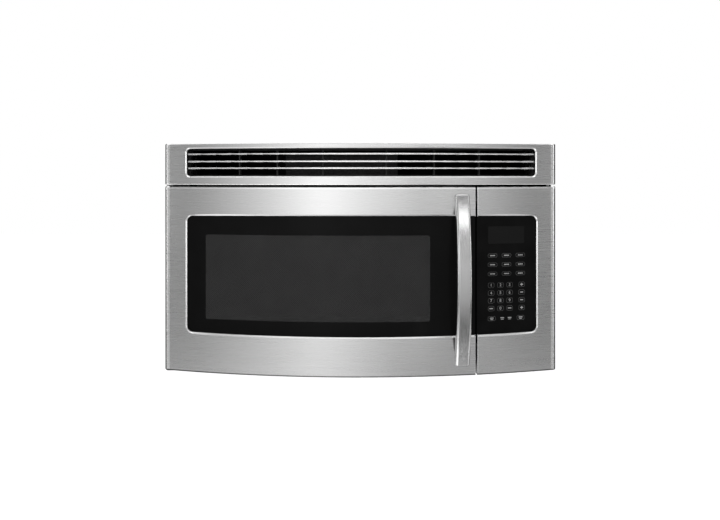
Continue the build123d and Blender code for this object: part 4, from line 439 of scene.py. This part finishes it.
def mesh_filter():
    """Layers of expanded aluminium: two crossed sets of bright strands, with painted shade in the
    gaps.
    """
    finish = Finish("aluminium_mesh", grey(0.55), metal=1.0, rough=0.35)
    one, two = (finish.wave(75.0, "X", (0, 0, math.radians(angle))) for angle in (32, -32))
    strands = finish.calc(one, "MAXIMUM", two)
    deep = finish.noise(240.0, detail=2.0)
    finish.colour(finish.weigh(strands, 0.8, deep), [grey(0.05), grey(0.30), grey(0.68)],
                  (0.35, 0.6, 0.85))
    finish.roughness(deep, 0.25, 0.5)
    return finish.relief(strands, 0.0012, 0.9)


def enamel(name, shade_above=None):
    """Light grey oven enamel, finely speckled, with painted shade in black above a height if
    given.
    """
    finish = Finish(name, grey(0.56, 0.01), rough=0.28, specular=0.5, coat=0.3, coat_rough=0.15)
    specks = finish.weigh(finish.cells(900.0), 0.5, finish.noise(12.0))
    finish.colour(specks, [grey(0.34), grey(0.52, 0.01), grey(0.60, 0.01)], (0.22, 0.36, 0.7))
    if shade_above:
        # painted shade: black above that height
        finish.beyond("Z", shade_above - 0.001, shade_above, grey(0.004))
    return finish.relief(finish.noise(700.0, detail=2.0), 0.0001, 0.35)


def charcoal_pad():
    """Black fibre pad behind a plastic mesh."""
    finish = Finish("charcoal_pad", grey(0.03), rough=0.85, specular=0.2, sheen=0.2)
    fibres = finish.noise(900.0, (1, 1, 0.35), 5.0, 0.7)
    net = finish.calc(finish.wave(130.0, "X"), "MAXIMUM", finish.wave(130.0, "Z"))
    finish.colour(fibres, [grey(0.010), grey(0.055)], (0.35, 0.7))
    finish.relief(fibres, 0.0008, 0.9)
    return finish.relief(net, 0.0006, 0.6)


def circuit_board():
    """Green solder mask over copper tracks."""
    finish = Finish("circuit_board", (0.02, 0.12, 0.05), rough=0.35, specular=0.5)
    tracks = finish.cells(260.0, "DISTANCE_TO_EDGE")
    finish.colour(tracks, [(0.05, 0.24, 0.09), (0.015, 0.10, 0.04)], (0.04, 0.07))
    finish.roughness(finish.noise(500.0), 0.3, 0.5)
    return finish.relief(tracks, 0.0002, 0.5)


def laminated_steel():
    """Stacked and varnished steel sheets."""
    finish = Finish("laminated_steel", grey(0.20), metal=0.8, rough=0.5)
    layers = finish.wave(500.0, "Y")
    stack = finish.weigh(layers, 0.4, finish.noise(60.0))
    finish.colour(stack, [(0.10, 0.09, 0.085), (0.30, 0.29, 0.28)], (0.25, 0.75))
    return finish.relief(layers, 0.0002, 0.6)


def display_tint():
    """Smoked window over a dim display, with the faint grid of its unlit segments."""
    finish = Finish("display_tint", grey(0.012), rough=0.08, specular=0.03)
    grid = finish.calc(finish.wave(150.0, "X"), "MULTIPLY", finish.wave(110.0, "Z"))
    finish.colour(grid, [grey(0.0092), grey(0.0120)], (0.2, 0.9))
    return finish.roughness(finish.noise(30.0), 0.06, 0.12)


def printed_film(name, level, rough):
    """Glossy printed film with a very slight orange peel."""
    finish = Finish(name, grey(level), rough=rough, specular=0.03)
    peel = finish.noise(320.0, detail=2.0)
    finish.colour(finish.noise(22.0), [grey(level * 0.85), grey(level * 1.2)], (0.35, 0.65))
    finish.roughness(peel, rough - 0.03, rough + 0.05)
    return finish.relief(peel, 0.00003, 0.4)


def mica_sheet():
    """Mica: thin silvery-brown flakes."""
    finish = Finish("mica_sheet", (0.50, 0.45, 0.37), rough=0.4, specular=0.5)
    flakes = finish.noise(55.0, detail=6.0, rough=0.7)
    finish.colour(flakes, [(0.36, 0.31, 0.24), (0.52, 0.47, 0.40), (0.66, 0.62, 0.55)],
                  (0.3, 0.5, 0.7))
    return finish.relief(flakes, 0.0002, 0.5)


def drawn_aluminium():
    """Bright drawn aluminium with rolling lines."""
    finish = Finish("magnetron_metal", grey(0.62), metal=1.0, rough=0.32)
    lines = finish.noise(1.0, (60, 1100, 60))
    finish.colour(lines, [grey(0.50), grey(0.68)])
    finish.roughness(lines, 0.25, 0.42)
    return finish.relief(lines, 0.00005, 0.3)


def make_finishes():
    """Every finish of the oven, by name."""
    return {
        "front": door_steel(),
        "grille": grille_steel(),
        "shaded_back": shaded_back_zinc(),
        "rib": moulded("grey_rib", 0.030, 0.6, specular=0.3),
        # the handle's steel is set darker than the front's, as painted shade
        "handle": brushed_steel("brushed_handle", 0.50, 0.21, (500, 500, 4), "Z", 0.2, 0.02),
        "louvre": brushed_steel("bright_louvre", 0.74, 0.22, (9, 1100, 1100), anisotropic=0.3),
        "case": painted("charcoal_paint", 0.024, 0.5),
        "zinc": zinc_sheet("zinc_sheet"),
        "plate": zinc_sheet("plate_zinc", 300.0, 0.56, 0.64),
        "enamel": enamel("oven_enamel"),
        "frame": enamel("frame_enamel", FRAME_SHADE_ABOVE),
        "mesh": mesh_filter(),
        "glass": door_glass(),
        "screen": perforated_screen(),
        "tray": clear_glass("tray_glass", (0.92, 0.96, 0.95), 0.03, 0.9),
        "pane": window_pane(),
        "lens": ribbed_lens(),
        "display": display_tint(),
        "keypad": printed_film("black_keypad", 0.0048, 0.16),
        "key": printed_film("membrane_key", 0.0052, 0.22),
        "bright_print": printed_film("bright_print", 0.30, 0.5),
        "dim_print": printed_film("dim_print", 0.10, 0.5),
        "black": moulded("black_moulding", 0.02),
        "dull": moulded("dull_black_moulding", 0.006, 0.75, specular=0.08),
        "white": moulded("natural_moulding", 0.66, 0.42, 0.015),
        "mica": mica_sheet(),
        "charcoal": charcoal_pad(),
        "board": circuit_board(),
        "lamination": laminated_steel(),
        "magnetron": drawn_aluminium(),
    }


FINISHES = make_finishes()
NODE_FINISH = {
    "front": ["door_skin", "control_bezel"],
    "grille": ["vent_grille"],
    "shaded_back": ["back_panel"],
    "rib": ["louvre_frame"],
    "handle": ["door_handle"],
    "louvre": ["louvre_bars"],
    "case": ["outer_case", "base_plate", "hinge_brackets"],
    "plate": ["wall_plate"],
    "zinc": ["blower_deck", "damper_housing", "damper_flap", "lamp_housings", "waveguide",
             "hv_capacitor", "door_pan", "turntable_motor"],
    "enamel": ["oven_cavity"],
    "frame": ["front_frame"],
    "mesh": ["grease_filter_left", "grease_filter_right"],
    "glass": ["door_glass"],
    "screen": ["door_screen"],
    "tray": ["glass_tray"],
    "pane": ["inner_pane"],
    "lens": ["lamp_lenses", "cooktop_lamps", "cavity_lamp"],
    "display": ["display_window"],
    "keypad": ["keypad_overlay"],
    "key": ["key_pads"],
    "black": ["control_chassis", "choke_cover", "interlock_switches", "cord_inlet"],
    "dull": ["blower_wheels", "blower_housings"],
    "white": ["drive_coupler", "roller_ring", "roller_wheel_1", "roller_wheel_2",
              "roller_wheel_3", "fan_frame", "fan_rotor", "interlock_bracket", "hinge_bushes",
              "latch_bar"],
    "mica": ["waveguide_cover"],
    "charcoal": ["charcoal_filter"],
    "board": ["control_board", "filter_board"],
    "lamination": ["blower_motor", "blower_shaft", "fan_motor", "hv_transformer",
                   "handle_screws", "latch_spring"],
    "magnetron": ["magnetron"],
}


def dress_nodes():
    """Gives each CAD node its finish."""
    for key, names in NODE_FINISH.items():
        for name in names:
            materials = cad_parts[name].data.materials
            if not materials:
                materials.append(None)
            for index in range(len(materials)):
                materials[index] = FINISHES[key].material


def piece(name, verts, faces, finish, slot, smooth=False):
    """A mesh piece with its finish, on the cabinet."""
    mesh = bpy.data.meshes.new(name)
    mesh.from_pydata(np.asarray(verts).tolist(), [], [list(face) for face in faces])
    mesh.materials.append(FINISHES[finish].material)
    mesh.update()
    if smooth:
        mesh.shade_smooth()
    part = bpy.data.objects.new(name, mesh)
    bpy.context.scene.collection.objects.link(part)
    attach(part, "cabinet")


def ring_faces(count):
    """Quads between a closed ring of points and the next ring of as many points."""
    index = np.arange(count)
    after = (index + 1) % count
    return np.stack([index, after, after + count, index + count], axis=-1)


# ---- printed keypad ---------------------------------------------------------------------
def on_keypad(u, v):
    """Points u right of the panel's left end and v below the window's top, on the keys: x is
    that end plus u, z that top less v, and y the bow set in to the keys, less the print's lift."""
    x = PANEL_LEFT + u
    return np.stack([x, bow_y(x, SHEET_INSET - KEY_RISE) - PRINT_LIFT, WINDOW_TOP - v], axis=-1)


def ring_outline(width, height, corner, count=8):
    """Closed rounded rectangle about the origin: quarter circles round its corners' centres."""
    turn = np.linspace(0, math.pi / 2, count)
    points = []
    for index, (side, end) in enumerate(((1, 1), (-1, 1), (-1, -1), (1, -1))):
        angle = turn + index * math.pi / 2
        centre = np.array([side * (width / 2 - corner), end * (height / 2 - corner)])
        points.append(centre + corner * np.stack([np.cos(angle), np.sin(angle)], axis=-1))
    return np.concatenate(points)


def key_rings(keys, width, height, corner, line):
    """Flat printed ring round each key: an outline, and one drawn in by the line's width."""
    outer = ring_outline(width, height, corner)
    inner = ring_outline(width - 2 * line, height - 2 * line, corner - line)
    ring = np.concatenate([outer, inner])
    verts = [on_keypad(u + ring[:, 0], v - ring[:, 1]) for u, v in keys]
    faces = [ring_faces(len(outer)) + number * len(ring) for number in range(len(keys))]
    return np.concatenate(verts), np.concatenate(faces)


def key_dashes(marks):
    """Flat printed dashes: each mark's middle, less or plus half its width and height."""
    marks = np.asarray(marks, float)
    signs = np.array([(-1, 1), (1, 1), (1, -1), (-1, -1)]) / 2
    u = marks[:, None, 0] + signs[None, :, 0] * marks[:, None, 2]
    v = marks[:, None, 1] + signs[None, :, 1] * marks[:, None, 3]
    verts = on_keypad(u.ravel(), v.ravel())
    return verts, np.arange(len(verts)).reshape(-1, 4)


def mode_marks():
    """Two or three dashes in a row on each mode key, centred on it."""
    marks = []
    for number, (u, v) in enumerate(MODE_KEYS):
        widths = MODE_DASHES[number % len(MODE_DASHES)]
        at = u - (sum(widths) + DASH_GAP * (len(widths) - 1)) / 2
        for width in widths:
            marks.append((at + width / 2, v, width, MODE_DASH_HEIGHT))
            at += width + DASH_GAP
    return marks


def foot_marks():
    """Two dashes, one above the other, on each key of the lowest row."""
    return [(u, FOOT_ROW + down, width, height)
            for u in FOOT_COLUMNS for down, width, height in FOOT_DASHES]


def side_marks():
    """A dash on each key beside the number keys, crossed on the first and the last."""
    u = DIGIT_COLUMNS[3]
    marks = []
    for v, height in zip(DIGIT_ROWS, SIDE_HEIGHTS):
        marks += [(u, v, *SIDE_DASH), (u, v, SIDE_UPRIGHT, height)]
    return marks


def flat_figure(text):
    """Points and faces of a flat figure, centred on the origin."""
    curve = bpy.data.curves.new("digit", "FONT")
    curve.body = text
    curve.size = FIGURE_SIZE
    curve.align_x = "CENTER"
    curve.align_y = "CENTER"
    holder = bpy.data.objects.new("digit", curve)
    mesh = bpy.data.meshes.new_from_object(holder)
    points = np.array([vertex.co for vertex in mesh.vertices], float)
    faces = [list(polygon.vertices) for polygon in mesh.polygons]
    bpy.data.objects.remove(holder)
    bpy.data.meshes.remove(mesh)
    bpy.data.curves.remove(curve)
    return points[:, :2], faces


def key_figures():
    """Figures on the number keys: each flat figure, moved to its key."""
    verts, faces, start = [], [], 0
    for number, figure in enumerate(FIGURES):
        if figure:
            flat, polygons = flat_figure(figure)
            u, v = DIGIT_COLUMNS[number % 3], DIGIT_ROWS[number // 3]
            verts.append(on_keypad(u + flat[:, 0], v - flat[:, 1]))
            faces += [[index + start for index in polygon] for polygon in polygons]
            start += len(flat)
    return np.concatenate(verts), faces


def print_keypad():
    """Rings round the keys, figures on the number keys and plain dashes on the others."""
    digits = [(u, v) for v in DIGIT_ROWS for u in DIGIT_COLUMNS]
    feet = [(u, FOOT_ROW) for u in (FOOT_COLUMNS[0], FOOT_COLUMNS[3])]
    words = [(DIGIT_COLUMNS[column], DIGIT_ROWS[3], *WORD_DASH) for column in (0, 2)]
    for name, ink, shape in (
            ("mode_key_rings", "dim_print", key_rings(MODE_KEYS, *MODE_RING)),
            ("digit_key_rings", "dim_print", key_rings(digits, *DIGIT_RING)),
            ("foot_key_rings", "dim_print", key_rings(feet, *FOOT_RING)),
            ("key_dashes", "bright_print", key_dashes(mode_marks() + foot_marks() + side_marks())),
            ("key_figures", "bright_print", key_figures()),
            ("word_dashes", "bright_print", key_dashes(words))):
        piece(name, *shape, ink, "key_print")


# ---- small screws -------------------------------------------------------------------------
HEAD_RADIUS = 0.0036
HEAD_HEIGHT = 0.0014
HEAD_PROFILE = [(1.0, 0.0), (1.0, 0.35), (0.82, 0.75), (0.50, 1.0)]    # shares of both
RECESS_HEIGHT = 0.00145
RECESS_LONG = 0.0016
RECESS_WIDE = 0.00035

SIDE_SCREWS = [(-0.022, 0.402), (-0.022, 0.22), (-0.022, 0.038), (-0.318, 0.402),
               (-0.318, 0.038)]
BASE_SCREWS = [(-0.366, -0.322), (0.366, -0.322), (-0.366, -0.024), (0.366, -0.024),
               (0.0, -0.322), (0.0, -0.024), (-0.258, -0.291), (0.258, -0.291)]
BACK_SCREWS = [(-0.366, 0.424), (-0.19, 0.424), (0.19, 0.424), (0.366, 0.424), (-0.366, 0.318),
               (0.366, 0.318)]
FRAME_SCREWS = [(-0.350, 0.335), (0.190, 0.335), (-0.350, 0.040), (0.190, 0.040)]
GRILLE_SCREWS = [(-0.27, -0.352), (0.27, -0.352)]
SCREWS = {    # the way that the heads face, and their places
    "case_side_left_screws": ((-1, 0, 0), [(-CASE_SIDE, y, z) for y, z in SIDE_SCREWS]),
    "case_side_right_screws": ((1, 0, 0), [(CASE_SIDE, y, z) for y, z in SIDE_SCREWS]),
    "base_screws": ((0, 0, -1), [(x, y, 0.0) for x, y in BASE_SCREWS]),
    "grille_screws": ((0, 0, 1), [(x, y, GRILLE_TOP) for x, y in GRILLE_SCREWS]),
    "back_screws": ((0, 1, 0), [(x, CASE_BACK, z) for x, z in BACK_SCREWS]),
    "frame_screws": ((0, -1, 0), [(x, FRAME_FRONT, z) for x, z in FRAME_SCREWS]),
}


def square_to(axis):
    """Two unit vectors square to an axis: the cross product of Z and the axis, or of X where the
    axis is upright, and that of the axis and the first."""
    other = (0.0, 0.0, 1.0) if abs(axis[2]) < 0.5 else (1.0, 0.0, 0.0)
    first = np.cross(other, axis)
    return first, np.cross(axis, first)


def screw_heads(axis, places, count=16):
    """Pan heads: each point is a radius of the profile times the cosine and sine of its turn
    round the axis, plus a height along it; the last ring is closed by one face."""
    axis = np.asarray(axis, float)
    profile = np.array(HEAD_PROFILE) * (HEAD_RADIUS, HEAD_HEIGHT)
    turn = np.linspace(0, 2 * math.pi, count, endpoint=False)
    first, second = square_to(axis)
    ring = np.cos(turn)[:, None] * first + np.sin(turn)[:, None] * second
    head = profile[:, 0, None, None] * ring + profile[:, 1, None, None] * axis
    head = head.reshape(-1, 3)
    verts = (np.asarray(places)[:, None, :] + head).reshape(-1, 3)
    starts = [number * len(head) for number in range(len(places))]
    sides = np.concatenate([ring_faces(count) + row * count for row in range(len(profile) - 1)])
    top = np.arange(count) + (len(profile) - 1) * count
    return verts, ([face for start in starts for face in (sides + start).tolist()]
                   + [(top + start).tolist() for start in starts])


def screw_recesses(axis, places):
    """Cross recess on each head: a flat plus sign of twelve points, just over the head's top."""
    axis = np.asarray(axis, float)
    long, wide = RECESS_LONG, RECESS_WIDE
    plus = np.array([(wide, long), (-wide, long), (-wide, wide), (-long, wide), (-long, -wide),
                     (-wide, -wide), (-wide, -long), (wide, -long), (wide, -wide),
                     (long, -wide), (long, wide), (wide, wide)])
    first, second = square_to(axis)
    recess = plus[:, :1] * first + plus[:, 1:] * second + RECESS_HEIGHT * axis
    verts = (np.asarray(places)[:, None, :] + recess).reshape(-1, 3)
    return verts, np.arange(len(verts)).reshape(-1, len(plus)).tolist()


def add_screws():
    """Small screws of the case, base, grille, back and front frame."""
    for name, (axis, places) in SCREWS.items():
        piece(name, *screw_heads(axis, places), "zinc", "zinc_steel", smooth=True)
        piece(f"{name}_recess", *screw_recesses(axis, places), "black", "black_plastic")


# ---- camera and studio --------------------------------------------------------------------
EYE = (0.0, -1.372, 0.376)
FOCAL_LENGTH = 515.9             # in pixels of the photo, as is its width
PHOTO_WIDTH = 720
FRAME_SHIFT = (-0.0004, -0.1153)
FLOOR = -1.0
OVER_FLOOR = -0.98
GLOW_WALL = -3.2                 # glowing wall behind the camera
HANDLE_WALL = -3.1               # strips in front of it, for the handle
GLOW_X = (-5.0, 5.0)
GLOW_Z = (-1.0, 4.0)
GLOW = [(-4.2, 0.19), (-2.8, 0.36), (-2.3, 0.60), (-1.7, 1.03), (-1.35, 1.21), (-0.83, 1.74),
        (-0.5, 2.35), (-0.16, 1.78), (0.35, 1.25), (1.05, 0.94), (1.45, 0.93), (1.8, 0.84),
        (2.3, 0.56), (2.8, 0.28), (4.2, 0.15)]    # places across the wall and their levels
GLOW_PEAK = 2.35
GLOW_HEIGHTS = [(-0.98, 0.43), (-0.35, 0.65), (0.30, 1.0), (0.64, 1.0), (0.88, 0.55),
                (1.5, 0.52), (1.9, 0.36), (3.2, 0.36)]    # heights and their shares of the level


def softbox(name, place, aim, size, watts):
    """Soft rectangular lamp at a place, aimed at a point."""
    lamp = bpy.data.lights.new(name, "AREA")
    lamp.shape = "RECTANGLE"
    lamp.size, lamp.size_y = size
    lamp.energy = watts
    holder = bpy.data.objects.new(name, lamp)
    holder.location = place
    direction = Vector(aim) - Vector(place)
    holder.rotation_euler = direction.to_track_quat("-Z", "Y").to_euler()
    bpy.context.scene.collection.objects.link(holder)
    holder.visible_camera = False
    holder.visible_glossy = False


def level_sheet(x, y, z):
    """Corners of a level rectangle."""
    return [(x[0], y[0], z), (x[1], y[0], z), (x[1], y[1], z), (x[0], y[1], z)]


def wall_sheet(x, y, z):
    """Corners of an upright rectangle across the room."""
    return [(x[0], y, z[0]), (x[1], y, z[0]), (x[1], y, z[1]), (x[0], y, z[1])]


def side_sheet(near, far, z):
    """Corners of an upright rectangle between two places on the floor."""
    return [(*near, z[0]), (*far, z[0]), (*far, z[1]), (*near, z[1])]


def reflected_sheet(name, corners):
    """Studio sheet that only reflections see, and its plain black finish."""
    mesh = bpy.data.meshes.new(name)
    mesh.from_pydata(corners, [], [(0, 1, 2, 3)])
    finish = Finish(name, grey(0.0), rough=1.0, specular=0.0)
    mesh.materials.append(finish.material)
    sheet = bpy.data.objects.new(name, mesh)
    bpy.context.scene.collection.objects.link(sheet)
    sheet.visible_camera = False
    sheet.visible_diffuse = False
    sheet.visible_shadow = False
    sheet.visible_transmission = False
    return finish


def glow_sheet(name, corners, heights):
    """Wide diffusing sheet, lit from behind: brightest left of the oven's middle and dimmer to
    both ends; heights gives its share of that level at some places up the sheet."""
    finish = reflected_sheet(name, corners)
    width, height = GLOW_X[1] - GLOW_X[0], GLOW_Z[1] - GLOW_Z[0]
    along = finish.spread(finish.axis("X"), 0.0, 1.0, *GLOW_X)
    glow = finish.blend(along, [grey(level / GLOW_PEAK) for x, level in GLOW],
                        [(x - GLOW_X[0]) / width for x, level in GLOW])
    upward = finish.spread(finish.axis("Z"), 0.0, 1.0, *GLOW_Z)
    share = finish.blend(upward, [grey(part) for z, part in heights],
                         [(z - GLOW_Z[0]) / height for z, part in heights])
    finish.feed("Emission Color", glow)
    finish.feed("Emission Strength", finish.calc(share, "MULTIPLY", GLOW_PEAK))


def strip(name, corners, level):
    """Evenly glowing strip; one of a low level is a dark flag."""
    finish = reflected_sheet(name, corners)
    finish.shader.inputs["Emission Color"].default_value = (1, 1, 1, 1)
    finish.shader.inputs["Emission Strength"].default_value = level


def front_glow():
    """Glowing wall behind the camera, carried on over the floor up to the oven."""
    glow_sheet("glow_screen", wall_sheet(GLOW_X, GLOW_WALL, (OVER_FLOOR, 3.2)), GLOW_HEIGHTS)
    for name, x, y, part in (("floor_glow", GLOW_X, (GLOW_WALL, -1.5), 0.43),
                             ("edge_glow", (-3, 3), (-1.5, -1.1), 1.5),
                             ("under_glow", (-2, 2), (-1.1, -0.30), 0.95)):
        glow_sheet(name, level_sheet(x, y, OVER_FLOOR), [(OVER_FLOOR, part), (0, part)])


def side_strips():
    """On each side a bright strip for the front's rounded end, and darker ones beyond it."""
    for side, where in ((-1, "left"), (1, "right")):
        for name, near, far, top, level in (
                ("strip", (3.02, -2.36), (3.44, -1.61), 1.9, 3.4),
                ("grey", (2.92, -1.30), (2.6, 0.04), 1.9, 0.20),
                ("flag", (2.6, 0.05), (0.9, 2.6), 2.0, 0.05)):
            places = [(side * x, y) for x, y in (near, far)]
            strip(f"{where}_{name}", side_sheet(*places, (-0.9, top)), level)


def handle_strips():
    """Lights and flags for the handle, the front's top and lower edges, and the back."""
    for name, x, z, level in (("handle_light", (0.25, 1.35), (1.00, 1.46), 3.2),
                              ("handle_dim", (0.68, 0.86), (0.12, 0.80), 0.38),
                              ("handle_fill", (0.68, 0.86), (-0.93, -0.18), 0.95)):
        strip(name, wall_sheet(x, HANDLE_WALL, z), level)
    for name, x, y, z, level in (("handle_low", (0.32, 0.68), (-1.74, -0.66), -0.96, 0.42),
                                 ("handle_shade", (0.25, 0.95), (-2.5, -1.7), -0.96, 0.22),
                                 ("upper_strip", (-1.4, 1.4), (-0.9, 0.1), 2.0, 2.8),
                                 ("lower_flag", (-0.42, 0.42), (-0.395, -0.25), -0.06, 0.04),
                                 ("back_flag", (-1.6, 1.6), (-0.28, 0.9), -0.97, 0.12)):
        strip(name, level_sheet(x, y, z), level)


def white_world():
    """World that is plain white to the camera and in reflections, and a soft fill otherwise."""
    world = bpy.data.worlds.new("studio")
    bpy.context.scene.world = world
    world.use_nodes = True
    tree = world.node_tree
    background = tree.nodes["Background"]
    background.inputs["Color"].default_value = (1, 1, 1, 1)
    ray = tree.nodes.new("ShaderNodeLightPath")
    seen = ray.outputs["Is Camera Ray"]
    for other in ("Is Glossy Ray", "Is Transmission Ray"):
        either = tree.nodes.new("ShaderNodeMath")
        either.operation = "MAXIMUM"
        tree.links.new(seen, either.inputs[0])
        tree.links.new(ray.outputs[other], either.inputs[1])
        seen = either.outputs[0]
    strength = tree.nodes.new("ShaderNodeMapRange")
    strength.inputs["To Min"].default_value = 0.78
    strength.inputs["To Max"].default_value = 1.0
    tree.links.new(seen, strength.inputs["Value"])
    tree.links.new(strength.outputs["Result"], background.inputs["Strength"])


def pale_floor():
    """Wide pale floor under the hung oven."""
    mesh = bpy.data.meshes.new("floor")
    mesh.from_pydata(level_sheet((-9, 9), (-7, 11), FLOOR), [], [(0, 1, 2, 3)])
    finish = Finish("pale_floor", grey(0.90), rough=0.8, specular=0.2)
    finish.colour(finish.noise(1.5), [grey(0.89), grey(0.92)])
    seen = finish.add("ShaderNodeLightPath").outputs["Is Camera Ray"]
    finish.shader.inputs["Emission Color"].default_value = (1, 1, 1, 1)
    finish.feed("Emission Strength", finish.spread(seen, 0.0, 0.34))
    mesh.materials.append(finish.material)
    floor = bpy.data.objects.new("floor", mesh)
    bpy.context.scene.collection.objects.link(floor)


def photo_camera():
    """Level camera straight in front, with the frame moved down to the oven."""
    camera = bpy.data.cameras.new("camera")
    camera.sensor_width = 36.0
    camera.lens = FOCAL_LENGTH / PHOTO_WIDTH * camera.sensor_width
    camera.shift_x, camera.shift_y = FRAME_SHIFT
    holder = bpy.data.objects.new("camera", camera)
    holder.location = EYE
    holder.rotation_euler = (math.radians(90), 0, 0)
    bpy.context.scene.collection.objects.link(holder)
    bpy.context.scene.camera = holder


dress_nodes()
print_keypad()
add_screws()
photo_camera()
white_world()
pale_floor()
front_glow()
softbox("front_softbox", (-0.5, -2.6, 1.3), (-0.05, -0.3, 0.25), (1.6, 1.2), 14)
softbox("top_softbox", (0.0, -0.9, 2.3), (0.0, -0.3, 0.3), (2.2, 1.2), 16)
side_strips()
handle_strips()
bpy.context.scene.view_settings.view_transform = "Standard"
